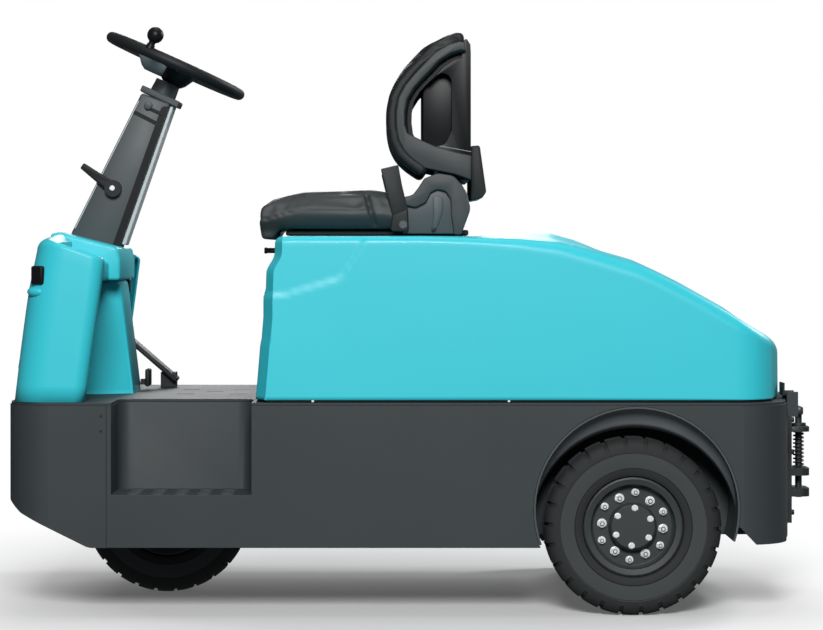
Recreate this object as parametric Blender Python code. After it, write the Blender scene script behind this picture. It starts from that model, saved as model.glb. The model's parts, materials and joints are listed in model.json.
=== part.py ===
"""Electric tow tractor: one steered front wheel, low side steps, a tilting bonnet and a rear coupling.

Metres. +X is forward, +Y is the driver's left, +Z is up and the floor is Z = 0.
"""

import math

import bmesh
import bpy
from mathutils import Matrix, Vector

# Driving dimensions -----------------------------------------------------------------------------
HALF_WIDTH = 0.490
FRONT_X = 0.970
REAR_X = -0.900
REAR_BOW = 0.284
DECK_TOP = 0.497
DECK_PLATE = 0.006
SKIRT_BOTTOM = 0.160
SKIRT_PLATE = 0.010
FRONT_AXLE_X = 0.630
REAR_AXLE_X = -0.490
WHEEL_RADIUS = 0.207
REAR_TYRE_WIDTH = 0.115
FRONT_TYRE_WIDTH = 0.110
REAR_WHEEL_Y = 0.4245
BONNET_TOP = 0.886
GAP = 0.0003
BONNET_WALL = 0.006
COLUMN_LEAN = math.radians(24.1)
STEERING_CENTRE = (0.613, 0.0, 1.312)
STEERING_RADIUS = 0.1735
SEAT_HALF_WIDTH = 0.235
SEAT_Z = BONNET_TOP + GAP

# Smaller shared sizes ---------------------------------------------------------------------------
SKIRT_TOP = DECK_TOP - DECK_PLATE - GAP
NOSE_REAR_X = 0.7350
NOSE_RADIUS = 0.100
NOSE_PLATE = 0.012
STEP_FRONT_X = 0.723
STEP_REAR_X = 0.398
STEP_FLOOR = 0.283
STEP_DEPTH = 0.160
STEP_RADIUS = 0.040
STEP_PLATE = 0.008
ARCH_X = -0.497
ARCH_Z = 0.248
ARCH_RADIUS = 0.240
LINER = 0.005
REAR_RADIUS = 0.115
REAR_BOTTOM = 0.167
RAIL_Y = 0.295
RAIL_PLATE = 0.012
TRAY_FRONT_X = 0.345
TRAY_REAR_X = -0.190
BATTERY_HALF_WIDTH = 0.300
BATTERY_TOP = 0.720
AXLE_RADIUS = 0.045
STUB_RADIUS = 0.020
KINGPIN_RADIUS = 0.030
FORK_CROWN_Z = 0.424
PIN_X = -0.947
PIN_RADIUS = 0.0085
PIN_FIT = 0.0007
JAW_HALF_WIDTH = 0.050
COWL_WALL = 0.006
TUNNEL_HALF_WIDTH = 0.170
COLUMN_HALF_WIDTH = 0.055
BONNET_PIVOT = (-0.885, 0.505)
BONNET_REAR_X = -0.880
BONNET_FRONT_X = 0.390
BONNET_MIDDLE_X = -0.250
HINGE_Y = 0.300
HINGE_HALF = 0.0275
HINGE_LEAF_X = -0.8590
LUG_HALF = 0.006
LUG_SHIFT = 0.034
BAY = (-0.800, 0.340, 0.430, 0.040)
BEYOND = 0.600
PAST = 0.010


# Helpers ----------------------------------------------------------------------------------------
def clear_scene():
    for old in list(bpy.data.objects):
        bpy.data.objects.remove(old, do_unlink=True)


def paint(name, colour, roughness, metallic=0.0):
    material = bpy.data.materials.new(name)
    material.use_nodes = True
    shader = material.node_tree.nodes["Principled BSDF"]
    shader.inputs["Base Color"].default_value = (*colour, 1.0)
    shader.inputs["Roughness"].default_value = roughness
    shader.inputs["Metallic"].default_value = metallic
    return material


COLOURS = {
    "teal": ((0.08, 0.60, 0.70), 0.35, 0.0),
    "chassis": ((0.055, 0.067, 0.073), 0.55, 0.0),
    "plastic": ((0.030, 0.034, 0.037), 0.60, 0.0),
    "column": ((0.068, 0.080, 0.088), 0.55, 0.0),
    "grey": ((0.42, 0.45, 0.46), 0.50, 0.0),
    "steel": ((0.30, 0.31, 0.32), 0.40, 1.0),
    "rubber": ((0.020, 0.021, 0.022), 0.85, 0.0),
    "seat": ((0.018, 0.020, 0.022), 0.55, 0.0),
    "lamp": ((0.85, 0.87, 0.88), 0.15, 0.0),
    "battery": ((0.10, 0.11, 0.12), 0.60, 0.0),
}


def node(name, bm, colour, smooth=False):
    """Turns a bmesh into a named scene object with its own material."""
    bmesh.ops.recalc_face_normals(bm, faces=bm.faces)
    mesh = bpy.data.meshes.new(name)
    bm.to_mesh(mesh)
    bm.free()
    made = bpy.data.objects.new(name, mesh)
    bpy.context.scene.collection.objects.link(made)
    made.data.materials.append(paint(name, *COLOURS[colour]))
    if smooth:
        for face in made.data.polygons:
            face.use_smooth = True
        made.data.set_sharp_from_angle(angle=math.radians(35))
    return made


def box(x, y, z):
    """A box between pairs of limits."""
    bm = bmesh.new()
    bmesh.ops.create_cube(bm, size=1.0)
    low = Vector((min(x), min(y), min(z)))
    size = Vector((max(x), max(y), max(z))) - low
    for vertex in bm.verts:
        vertex.co = low + Vector(
            ((vertex.co.x + 0.5) * size.x, (vertex.co.y + 0.5) * size.y, (vertex.co.z + 0.5) * size.z)
        )
    return bm


def soften(bm, width, segments=2, least_angle=30.0):
    """Rounds the edges that turn by more than least_angle."""
    edges = [
        edge
        for edge in bm.edges
        if len(edge.link_faces) == 2 and edge.calc_face_angle(0.0) > math.radians(least_angle)
    ]
    bmesh.ops.bevel(
        bm, geom=edges, offset=width, segments=segments, profile=0.5, affect="EDGES", clamp_overlap=True
    )
    return bm


def round_corners(corners, segments=6, closed=True):
    """Points of an outline whose corners (u, v, radius) are rounded."""
    points = []
    count = len(corners)
    for index, (u, v, radius) in enumerate(corners):
        here = Vector((u, v))
        inner = closed or 0 < index < count - 1
        if radius <= 0.0 or not inner:
            points.append((u, v))
            continue
        before = Vector(corners[index - 1][:2]) - here
        after = Vector(corners[(index + 1) % count][:2]) - here
        before.normalize()
        after.normalize()
        half = before.angle(after) / 2.0
        back = radius / math.tan(half)
        centre = here + (before + after).normalized() * (radius / math.sin(half))
        start = here + before * back - centre
        end = here + after * back - centre
        turn = start.angle_signed(end)
        for step in range(segments + 1):
            swung = start.copy()
            swung.rotate(Matrix.Rotation(-turn * step / segments, 2))
            points.append((centre.x + swung.x, centre.y + swung.y))
    return points


def prism(outline, low, high, along="z"):
    """An outline pushed along one axis; the outline holds the other two, in x, y, z order."""
    bm = bmesh.new()
    place = {
        "x": lambda u, v, w: (w, u, v),
        "y": lambda u, v, w: (u, w, v),
        "z": lambda u, v, w: (u, v, w),
    }[along]
    face = bm.faces.new([bm.verts.new(place(u, v, low)) for u, v in outline])
    pushed = bmesh.ops.extrude_face_region(bm, geom=[face])
    shift = Vector(place(0.0, 0.0, high - low))
    moved = [item for item in pushed["geom"] if isinstance(item, bmesh.types.BMVert)]
    bmesh.ops.translate(bm, vec=shift, verts=moved)
    return bm


def frame_on(origin, direction):
    """A matrix whose Z runs along a direction and whose origin is given."""
    turn = Vector((0.0, 0.0, 1.0)).rotation_difference(Vector(direction).normalized())
    return Matrix.Translation(Vector(origin)) @ turn.to_matrix().to_4x4()


def rod(start, end, radius, end_radius=None, segments=24):
    """A cylinder or cone between two points."""
    bm = bmesh.new()
    start = Vector(start)
    end = Vector(end)
    bmesh.ops.create_cone(
        bm,
        cap_ends=True,
        segments=segments,
        radius1=radius,
        radius2=radius if end_radius is None else end_radius,
        depth=(end - start).length,
        matrix=frame_on((start + end) / 2.0, end - start),
    )
    return bm


def lathe(profile, origin, direction, segments=48, ring=True):
    """Turns a closed (radius, along) profile round a direction."""
    bm = bmesh.new()
    matrix = frame_on(origin, direction)
    loops = []
    for step in range(segments):
        angle = 2.0 * math.pi * step / segments
        turned = []
        for radius, along in profile:
            if radius < 1e-9 and loops:
                turned.append(loops[0][len(turned)])
                continue
            spot = Vector((radius * math.cos(angle), radius * math.sin(angle), along))
            turned.append(bm.verts.new(matrix @ spot))
        loops.append(turned)
    count = len(profile)
    for step in range(segments):
        here = loops[step]
        there = loops[(step + 1) % segments]
        for index in range(count if ring else count - 1):
            after = (index + 1) % count
            corners = [here[index], here[after], there[after], there[index]]
            unique = []
            for corner in corners:
                if corner not in unique:
                    unique.append(corner)
            if len(unique) > 2:
                bm.faces.new(unique)
    return bm


def loft(rings):
    """Joins closed rings of equal length and fills both ends."""
    bm = bmesh.new()
    made = [[bm.verts.new(point) for point in ring] for ring in rings]
    for lower, upper in zip(made, made[1:]):
        for index in range(len(lower)):
            after = (index + 1) % len(lower)
            bm.faces.new([lower[index], lower[after], upper[after], upper[index]])
    bm.faces.new(list(reversed(made[0])))
    bm.faces.new(made[-1])
    return bm


def scratch(bm):
    """A helper object that a Boolean reads and that is removed afterwards."""
    bmesh.ops.recalc_face_normals(bm, faces=bm.faces)
    mesh = bpy.data.meshes.new("helper")
    bm.to_mesh(mesh)
    bm.free()
    helper = bpy.data.objects.new("helper", mesh)
    helper.hide_render = True
    helper.display_type = "WIRE"
    bpy.context.scene.collection.objects.link(helper)
    return helper


def combined(base, others, operation):
    """A new bmesh: the base joined with, cut by or limited to each of the others in turn."""
    target = scratch(base)
    for other in others:
        tool = scratch(other)
        modifier = target.modifiers.new("join", "BOOLEAN")
        modifier.operation = operation
        modifier.solver = "EXACT"
        modifier.object = tool
        bpy.context.view_layer.update()
        graph = bpy.context.evaluated_depsgraph_get()
        result = bpy.data.meshes.new_from_object(target.evaluated_get(graph))
        target.modifiers.clear()
        target.data = result
        bpy.data.objects.remove(tool, do_unlink=True)
    bm = bmesh.new()
    bm.from_mesh(target.data)
    bpy.data.objects.remove(target, do_unlink=True)
    bmesh.ops.remove_doubles(bm, verts=bm.verts, dist=1e-6)
    return bm


def joined(base, *others):
    return combined(base, others, "UNION")


def cut(base, *others):
    return combined(base, others, "DIFFERENCE")


def limited(base, *others):
    return combined(base, others, "INTERSECT")


def mirrored(bm):
    """The same shape on the other side of the vehicle."""
    bmesh.ops.scale(bm, vec=Vector((1.0, -1.0, 1.0)), verts=bm.verts)
    bmesh.ops.reverse_faces(bm, faces=bm.faces)
    return bm


def both_sides(name, build, colour, smooth=False):
    node(name + "_left", build(), colour, smooth)
    node(name + "_right", mirrored(build()), colour, smooth)


# Chassis ----------------------------------------------------------------------------------------
def rear_line(inset, segments=8):
    """Half of the rear outline, from the side round the corner to the centre line."""
    side = HALF_WIDTH - inset
    corner = REAR_RADIUS - inset
    corner_y = HALF_WIDTH - REAR_RADIUS
    back = REAR_X + REAR_BOW * corner_y**2
    centre_x = back + REAR_RADIUS
    points = []
    for step in range(segments + 1):
        angle = math.pi / 2.0 * step / segments
        points.append((centre_x - corner * math.sin(angle), corner_y + corner * math.cos(angle)))
    for step in range(1, segments // 2 + 1):
        y = corner_y * (1.0 - step / (segments // 2))
        points.append((REAR_X + inset + REAR_BOW * y**2, y))
    points[0] = (centre_x, side)
    return points


def arch_cutter():
    return rod((ARCH_X, 0.30, ARCH_Z), (ARCH_X, BEYOND, ARCH_Z), ARCH_RADIUS, segments=72)


def step_outline():
    """Plan of the step recess, open to the side."""
    pocket_y = HALF_WIDTH - STEP_DEPTH
    corners = [
        (STEP_REAR_X, pocket_y, STEP_RADIUS),
        (STEP_FRONT_X, pocket_y, STEP_RADIUS),
        (STEP_FRONT_X, BEYOND, 0.0),
        (STEP_REAR_X, BEYOND, 0.0),
    ]
    return round_corners(corners)


def frame_nose():
    wide = [
        (NOSE_REAR_X, -HALF_WIDTH, 0.0),
        (FRONT_X, -HALF_WIDTH, NOSE_RADIUS),
        (FRONT_X, HALF_WIDTH, NOSE_RADIUS),
        (NOSE_REAR_X, HALF_WIDTH, 0.0),
    ]
    side = [
        (NOSE_REAR_X - 0.02, SKIRT_BOTTOM, 0.0),
        (0.776, SKIRT_BOTTOM, 0.040),
        (0.938, 0.240, 0.030),
        (FRONT_X, 0.268, 0.020),
        (FRONT_X + 0.02, 0.300, 0.0),
        (FRONT_X + 0.02, SKIRT_TOP + 0.02, 0.0),
        (NOSE_REAR_X - 0.02, SKIRT_TOP + 0.02, 0.0),
    ]
    inner = FRONT_X - NOSE_PLATE
    inner_y = HALF_WIDTH - NOSE_PLATE
    hollow = [
        (0.70, -inner_y, 0.0),
        (inner, -inner_y, NOSE_RADIUS - NOSE_PLATE),
        (inner, inner_y, NOSE_RADIUS - NOSE_PLATE),
        (0.70, inner_y, 0.0),
    ]
    body = limited(
        prism(round_corners(wide, 10), SKIRT_BOTTOM - 0.01, SKIRT_TOP),
        prism(round_corners(side), -BEYOND, BEYOND, "y"),
    )
    return cut(
        body,
        prism(round_corners(hollow, 10), 0.285, BEYOND),
        box((0.70, 0.862), (-inner_y, inner_y), (0.10, BEYOND)),
    )


def frame_side():
    inner_y = HALF_WIDTH - SKIRT_PLATE
    plate = box((ARCH_X + GAP / 2, NOSE_REAR_X - GAP), (inner_y, HALF_WIDTH), (SKIRT_BOTTOM, SKIRT_TOP))
    pocket_y = HALF_WIDTH - STEP_DEPTH
    pocket = box(
        (STEP_REAR_X - STEP_PLATE, STEP_FRONT_X + STEP_PLATE),
        (pocket_y - STEP_PLATE, inner_y + 0.004),
        (STEP_FLOOR - STEP_PLATE, SKIRT_TOP),
    )
    return cut(joined(plate, pocket), prism(step_outline(), STEP_FLOOR, BEYOND), arch_cutter())


def frame_rear():
    def outline(inset):
        half = [(ARCH_X - GAP / 2, HALF_WIDTH - inset)] + rear_line(inset)
        return half + [(x, -y) for x, y in reversed(half[:-1])]

    outer = prism(outline(0.0), REAR_BOTTOM, SKIRT_TOP)
    inside = outline(SKIRT_PLATE)
    for end in (0, -1):
        inside[end] = (inside[end][0] + PAST, inside[end][1])
    inner = prism(inside, 0.0, BEYOND)
    foot = [
        (-0.70, REAR_BOTTOM - 0.01, 0.0),
        (-0.775, REAR_BOTTOM - 0.01, 0.0),
        (-0.775, REAR_BOTTOM, 0.0),
        (-0.737, REAR_BOTTOM + 0.040, 0.0),
        (-0.70, REAR_BOTTOM + 0.040, 0.0),
    ]
    foot_cutter = prism(round_corners(foot), -BEYOND, BEYOND, "y")
    body = cut(outer, inner, arch_cutter(), mirrored(arch_cutter()), foot_cutter)
    pivot_x, pivot_z = BONNET_PIVOT
    lugs = []
    for side in (-1.0, 1.0):
        for shift in (-LUG_SHIFT, LUG_SHIFT):
            y = side * HINGE_Y + shift
            width = (y - LUG_HALF, y + LUG_HALF)
            lugs.append(box((pivot_x - 0.009, -0.8675), width, (0.455, pivot_z + 0.009)))
    return joined(body, *lugs)


def deck_plate():
    inset = 0.003
    half = rear_line(inset)
    nose = round_corners(
        [
            (0.0, -HALF_WIDTH + inset, 0.0),
            (FRONT_X - inset, -HALF_WIDTH + inset, NOSE_RADIUS - inset),
            (FRONT_X - inset, HALF_WIDTH - inset, NOSE_RADIUS - inset),
            (0.0, HALF_WIDTH - inset, 0.0),
        ],
        10,
        closed=False,
    )
    outline = nose[:-1] + half + [(x, -y) for x, y in reversed(half[:-1])]
    plate = prism(outline[1:], DECK_TOP - DECK_PLATE, DECK_TOP)
    rear, front, half_bay, corner = BAY
    bay = [
        (rear, -half_bay, corner),
        (front, -half_bay, corner),
        (front, half_bay, corner),
        (rear, half_bay, corner),
    ]
    cuts = [
        prism(step_outline(), 0.40, BEYOND),
        mirrored(prism(step_outline(), 0.40, BEYOND)),
        prism(round_corners(bay, 4), 0.40, BEYOND),
    ]
    for side in (-1.0, 1.0):
        cuts.append(box((-0.95, -0.8665), (side * HINGE_Y - 0.042, side * HINGE_Y + 0.042), (0.40, BEYOND)))
    body = cut(plate, *cuts)
    x = FRONT_AXLE_X
    boss = rod((x, 0, FORK_CROWN_Z + 0.0145), (x, 0, DECK_TOP - 0.002), 0.060, segments=36)
    hole = rod((x, 0, 0.40), (x, 0, 0.4865), KINGPIN_RADIUS + 0.0005, segments=32)
    return cut(joined(body, boss), hole)


def battery_tray():
    half = HALF_WIDTH - SKIRT_PLATE - GAP
    floor = box((TRAY_REAR_X, TRAY_FRONT_X + 0.010), (-half, half), (SKIRT_BOTTOM, SKIRT_BOTTOM + 0.010))
    front = box((TRAY_FRONT_X, TRAY_FRONT_X + 0.010), (-half, half), (SKIRT_BOTTOM + 0.005, SKIRT_TOP))
    back = box((TRAY_REAR_X, TRAY_REAR_X + 0.010), (-half, half), (SKIRT_BOTTOM + 0.005, 0.400))
    return joined(floor, front, back)


def frame_rail():
    outline = [
        (TRAY_REAR_X - GAP, SKIRT_TOP, 0.0),
        (-0.8622, SKIRT_TOP, 0.0),
        (-0.8622, 0.215, 0.030),
        (-0.800, 0.125, 0.030),
        (-0.740, 0.110, 0.020),
        (-0.620, 0.135, 0.020),
        (REAR_AXLE_X - 0.066, 0.165, 0.015),
        (REAR_AXLE_X - 0.066, 0.2683, 0.010),
        (REAR_AXLE_X + 0.066, 0.2683, 0.010),
        (REAR_AXLE_X + 0.066, 0.172, 0.015),
        (TRAY_REAR_X - GAP, 0.172, 0.0),
    ]
    return prism(round_corners(outline, 4), RAIL_Y, RAIL_Y + RAIL_PLATE, "y")


def battery():
    length = (TRAY_REAR_X + 0.020, TRAY_FRONT_X - 0.010)
    width = (-BATTERY_HALF_WIDTH, BATTERY_HALF_WIDTH)
    height = (SKIRT_BOTTOM + 0.010 + GAP, BATTERY_TOP)
    return soften(box(length, width, height), 0.004, 1)


def arch_liner():
    outer = ARCH_RADIUS - GAP
    inner = outer - LINER
    start = math.radians(-20.0)
    end = math.radians(198.0)
    steps = 40
    arc = [start + (end - start) * step / steps for step in range(steps + 1)]
    outline = [(ARCH_X + outer * math.cos(a), ARCH_Z + outer * math.sin(a)) for a in arc]
    outline += [(ARCH_X + inner * math.cos(a), ARCH_Z + inner * math.sin(a)) for a in reversed(arc)]
    return prism(outline, RAIL_Y + RAIL_PLATE + GAP, HALF_WIDTH - 0.001, "y")


def drive_axle():
    centre = WHEEL_RADIUS
    reach = REAR_WHEEL_Y - 0.062
    tube = rod((REAR_AXLE_X, -reach, centre), (REAR_AXLE_X, reach, centre), AXLE_RADIUS, segments=32)
    stub = rod((REAR_AXLE_X, -0.440, centre), (REAR_AXLE_X, 0.440, centre), STUB_RADIUS, segments=28)
    case = rod((REAR_AXLE_X, -0.105, centre), (REAR_AXLE_X, 0.105, centre), 0.092, segments=36)
    nose = rod((REAR_AXLE_X + 0.02, 0, centre + 0.01), (-0.372, 0, centre + 0.01), 0.060, segments=28)
    pads = [
        box((REAR_AXLE_X - 0.05, REAR_AXLE_X + 0.05), (side * 0.283, side * 0.319), (centre, 0.268))
        for side in (-1.0, 1.0)
    ]
    motor_z = centre + 0.035
    motor = rod((-0.380, 0, motor_z), (-0.205, 0, motor_z), 0.090, segments=32)
    foot = box((-0.30, TRAY_REAR_X - GAP), (-0.06, 0.06), (motor_z - 0.015, motor_z + 0.065))
    return joined(tube, stub, case, nose, motor, foot, *pads)


# Coupling ---------------------------------------------------------------------------------------
def tow_coupling():
    plate = box((REAR_X - GAP, REAR_X - 0.020), (-0.070, 0.070), (0.175, 0.455))
    shelves = [(0.399, 0.411), (0.290, 0.308), (0.238, 0.258)]
    jaws = []
    for low, high in shelves:
        outline = [
            (REAR_X - 0.010, -JAW_HALF_WIDTH, 0.0),
            (-0.970, -JAW_HALF_WIDTH, 0.024),
            (-0.970, JAW_HALF_WIDTH, 0.024),
            (REAR_X - 0.010, JAW_HALF_WIDTH, 0.0),
        ]
        jaws.append(prism(round_corners(outline, 5), low, high))
    hole = rod((PIN_X, 0, 0.20), (PIN_X, 0, 0.43), PIN_RADIUS + PIN_FIT, segments=28)
    return cut(joined(plate, *jaws), hole)


def tow_pin():
    shank = rod((PIN_X, 0, 0.233), (PIN_X, 0, 0.440), PIN_RADIUS, segments=28)
    collar = rod((PIN_X, 0, 0.4113), (PIN_X, 0, 0.4185), 0.0185, segments=28)
    handle = box((PIN_X - 0.008, PIN_X + 0.008), (-0.030, 0.030), (0.440, 0.4605))
    return joined(shank, collar, soften(handle, 0.004))


# Wheels -----------------------------------------------------------------------------------------
def tyre(centre_y, axle_x, width, bead_half):
    half = width / 2.0
    side = [
        (0.1023, bead_half),
        (0.1166, bead_half),
        (0.1166, half - 0.006),
        (0.1300, half - 0.001),
        (0.1720, half),
        (WHEEL_RADIUS - 0.010, half - 0.008),
        (WHEEL_RADIUS, half - 0.024),
    ]
    profile = [(radius, -along) for radius, along in side] + list(reversed(side))
    return lathe(profile, (axle_x, centre_y, WHEEL_RADIUS), (0, 1, 0), 48)


def rear_rim():
    """Outer face looks to +Y; a blind bore from inside takes the axle stub."""
    bore = STUB_RADIUS + 0.0006
    profile = [
        (0.0, 0.0460),
        (0.050, 0.0460),
        (0.056, 0.0400),
        (0.056, 0.0230),
        (0.092, 0.0230),
        (0.099, 0.0290),
        (0.099, 0.0480),
        (0.112, 0.0500),
        (0.116, 0.0480),
        (0.116, 0.0460),
        (0.1020, 0.0370),
        (0.1020, -0.0370),
        (0.116, -0.0460),
        (0.116, -0.0500),
        (0.112, -0.0510),
        (0.097, -0.0440),
        (0.095, 0.0100),
        (0.060, 0.0100),
        (0.050, -0.0560),
        (bore, -0.0560),
        (bore, 0.0180),
        (0.0, 0.0180),
    ]
    return lathe(profile, (REAR_AXLE_X, REAR_WHEEL_Y, WHEEL_RADIUS), (0, 1, 0), 36, ring=False)


def front_rim():
    bore = 0.0131
    half = 0.0360
    profile = [
        (bore, 0.0600),
        (0.030, 0.0600),
        (0.034, 0.0090),
        (0.092, 0.0070),
        (0.097, half + 0.006),
        (0.112, half + 0.010),
        (0.116, half + 0.008),
        (0.1020, half - 0.003),
        (0.1020, -half + 0.003),
        (0.116, -half - 0.008),
        (0.112, -half - 0.010),
        (0.097, -half - 0.006),
        (0.092, -0.0070),
        (0.034, -0.0090),
        (0.030, -0.0600),
        (bore, -0.0600),
    ]
    return lathe(profile, (FRONT_AXLE_X, 0, WHEEL_RADIUS), (0, 1, 0), 36)


def steer_fork():
    x = FRONT_AXLE_X
    crown = rod((x, 0, FORK_CROWN_Z), (x, 0, FORK_CROWN_Z + 0.014), 0.088, segments=40)
    pin = rod((x, 0, FORK_CROWN_Z + 0.005), (x, 0, 0.486), KINGPIN_RADIUS, segments=28)
    axle = rod((x, -0.084, WHEEL_RADIUS), (x, 0.084, WHEEL_RADIUS), 0.0125, segments=24)
    arms = []
    for side in (-1.0, 1.0):
        outline = [
            (x - 0.030, WHEEL_RADIUS - 0.030, 0.028),
            (x + 0.030, WHEEL_RADIUS - 0.030, 0.028),
            (x + 0.045, FORK_CROWN_Z + 0.006, 0.0),
            (x - 0.045, FORK_CROWN_Z + 0.006, 0.0),
        ]
        low, high = sorted((side * 0.066, side * 0.078))
        arms.append(prism(round_corners(outline, 6), low, high, "y"))
    return joined(crown, pin, axle, *arms)


# Cowl -------------------------------------------------------------------------------------------
def cowl_top(x):
    """Height of the cowl rim at a place along the vehicle."""
    if x > 0.881:
        return 0.862 - (x - 0.881) * 0.40
    return 0.833 + (x - 0.744) * 0.21


def cowl_ring(front, rear, half, share, wall=COWL_WALL):
    def path(inset):
        curl = 0.030 - inset
        corners = [
            (rear + inset, half - 0.045, 0.0),
            (rear + inset, half - inset, curl),
            (front - inset, half - inset, 0.075 - inset),
            (front - inset, -half + inset, 0.075 - inset),
            (rear + inset, -half + inset, curl),
            (rear + inset, -half + 0.045, 0.0),
        ]
        return round_corners(corners, 6, closed=False)

    loop = path(0.0) + list(reversed(path(wall)))
    base = DECK_TOP + GAP
    return [(x, y, base + share * (cowl_top(x) - base)) for x, y in loop]


def cowl_shell():
    rings = [
        cowl_ring(0.9600, 0.7880, 0.487, 0.0),
        cowl_ring(0.9490, 0.7733, 0.484, 0.33),
        cowl_ring(0.9370, 0.7545, 0.480, 0.75),
        cowl_ring(0.9240, 0.7440, 0.477, 1.0),
    ]
    return loft(rings)


def column_rear(z):
    """Rear edge of the column casing at a height."""
    return 0.7513 - (z - 0.8488) * 0.3535


def column_side(margin=0.0):
    """Side outline of the column casing."""
    return [
        (0.7766 - margin, 0.7773 - margin),
        (column_rear(0.8488) - margin, 0.8488),
        (column_rear(1.2146) - margin, 1.2146 + margin),
        (0.6936 + margin, 1.2420 + margin),
        (0.8700 + margin, 0.8900),
        (0.8600 + margin, 0.7773 - margin),
    ]


def cowl_dash():
    half = 0.4706
    inner_half = 0.4316
    outer = [
        (0.9176, 0.800, 0.0),
        (0.9176, 0.856, 0.012),
        (0.9030, 0.884, 0.012),
        (0.8840, 0.895, 0.010),
        (0.7390, 0.857, 0.012),
        (0.7330, 0.7773, 0.0),
        (0.7900, 0.7773, 0.0),
    ]
    hollow = [
        (0.9105, 0.700, 0.0),
        (0.9105, 0.853, 0.008),
        (0.8990, 0.879, 0.008),
        (0.8830, 0.888, 0.006),
        (0.7455, 0.852, 0.008),
        (0.7395, 0.700, 0.0),
    ]
    plan = [
        (0.70, -inner_half, 0.0),
        (0.775, -inner_half, 0.0),
        (0.775, -half, 0.0),
        (0.9176, -half, 0.072),
        (0.9176, half, 0.072),
        (0.775, half, 0.0),
        (0.775, inner_half, 0.0),
        (0.70, inner_half, 0.0),
    ]
    body = prism(round_corners(outer, 4), -half, half, "y")
    body = limited(body, prism(round_corners(plan, 8), 0.70, 0.95))
    column = prism(column_side(GAP), -COLUMN_HALF_WIDTH - GAP, COLUMN_HALF_WIDTH + GAP, "y")
    return cut(body, prism(round_corners(hollow, 4), -inner_half + 0.006, inner_half - 0.006, "y"), column)


def leg_shield():
    top = 0.7770
    base = DECK_TOP + GAP
    outer = [(0.708, base), (0.7425, top), (0.9250, top), (0.9400, base)]
    inner = [(0.7145, base - 0.02), (0.7475, top - 0.005), (0.9200, top - 0.005), (0.9200, base - 0.02)]
    half = TUNNEL_HALF_WIDTH
    shell = prism(outer, -half, half, "y")
    shell = soften(shell, 0.012, 3, 40.0)
    floor = box((0.60, 1.0), (-0.3, 0.3), (base - 0.05, base + 0.0125))
    shell = cut(shell, floor)
    foot = [(0.7096, base), (0.7130, base + 0.030), (0.935, base + 0.030), (0.935, base)]
    shell = joined(shell, prism(foot, -half + 0.002, half - 0.002, "y"))
    return cut(shell, prism(inner, -half + 0.006, half - 0.006, "y"))


def headlamp():
    matrix = Matrix.Translation((0.9511, 0.330, 0.590)) @ Matrix.Rotation(math.radians(-5.47), 4, "Y")
    bm = soften(box((0.0001, 0.0120), (-0.055, 0.055), (-0.026, 0.026)), 0.005, 2)
    bmesh.ops.transform(bm, matrix=matrix, verts=bm.verts)
    return bm


# Steering column and pedals ---------------------------------------------------------------------
def along_column(distance, side=0.0, across=0.0):
    """A point measured from the steering wheel centre: along the column, forward and to the left."""
    lean = COLUMN_LEAN
    x, y, z = STEERING_CENTRE
    return (
        x - math.sin(lean) * distance + math.cos(lean) * side,
        y + across,
        z + math.cos(lean) * distance + math.sin(lean) * side,
    )


def column_housing():
    casing = soften(prism(column_side(), -COLUMN_HALF_WIDTH, COLUMN_HALF_WIDTH, "y"), 0.006, 2)
    flange = box((-0.051, 0.051), (-0.052, 0.052), (-0.011, 0.005))
    soften(flange, 0.002, 1)
    place = frame_on(along_column(-0.0830), column_direction())
    bmesh.ops.transform(flange, matrix=place, verts=flange.verts)
    neck = rod(along_column(-0.0850), along_column(-0.0460), 0.034, 0.031, segments=32)
    return joined(casing, flange, neck)


def column_direction():
    return (-math.sin(COLUMN_LEAN), 0.0, math.cos(COLUMN_LEAN))


def column_cover():
    back = Vector((column_rear(0.866), 0.0, 0.866))
    top = Vector((column_rear(1.203), 0.0, 1.203))
    run = (top - back).normalized()
    out = Vector((-run.z, 0.0, run.x))
    outline = []
    for point, lift in ((back, 0.0), (top, 0.0), (top, 0.014), (back, 0.016)):
        spot = point + out * (lift + GAP)
        outline.append((spot.x, spot.z))
    return soften(prism(outline, -0.046, 0.046, "y"), 0.004, 2)


def column_lever():
    pivot = Vector((0.763, 0.0, 1.004))
    tip = Vector((0.840, 0.0, 1.061))
    y = COLUMN_HALF_WIDTH + GAP
    boss = rod((pivot.x, y, pivot.z), (pivot.x, y + 0.018, pivot.z), 0.021, segments=28)
    run = (tip - pivot).normalized()
    across = Vector((-run.z, 0.0, run.x))
    outline = []
    for point, half in ((pivot, 0.015), (tip, 0.008)):
        outline.append(point + across * half)
        outline.insert(0, point - across * half)
    corners = [(p.x, p.z) for p in outline]
    arm = prism(corners, y + 0.002, y + 0.014, "y")
    soften(arm, 0.003, 2)
    return joined(boss, arm)


def accelerator_pedal():
    top = Vector((0.752, 0.0, 0.632))
    low = Vector((0.622, 0.0, 0.519))
    run = (top - low).normalized()
    out = Vector((-run.z, 0.0, run.x))
    corners = [low, top, top - out * 0.012, low - out * 0.012]
    plate = prism([(p.x, p.z) for p in corners], -0.265, -0.180, "y")
    soften(plate, 0.004, 2)
    foot = box((0.628, 0.668), (-0.245, -0.200), (DECK_TOP + GAP, 0.536))
    return joined(plate, foot)


def brake_pedal():
    arm = box((0.694, 0.7092), (-0.105, -0.085), (0.5100, 0.5240))
    pad = soften(box((0.684, 0.696), (-0.125, -0.065), (0.5060, 0.5500)), 0.004, 2)
    return joined(arm, pad)


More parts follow.
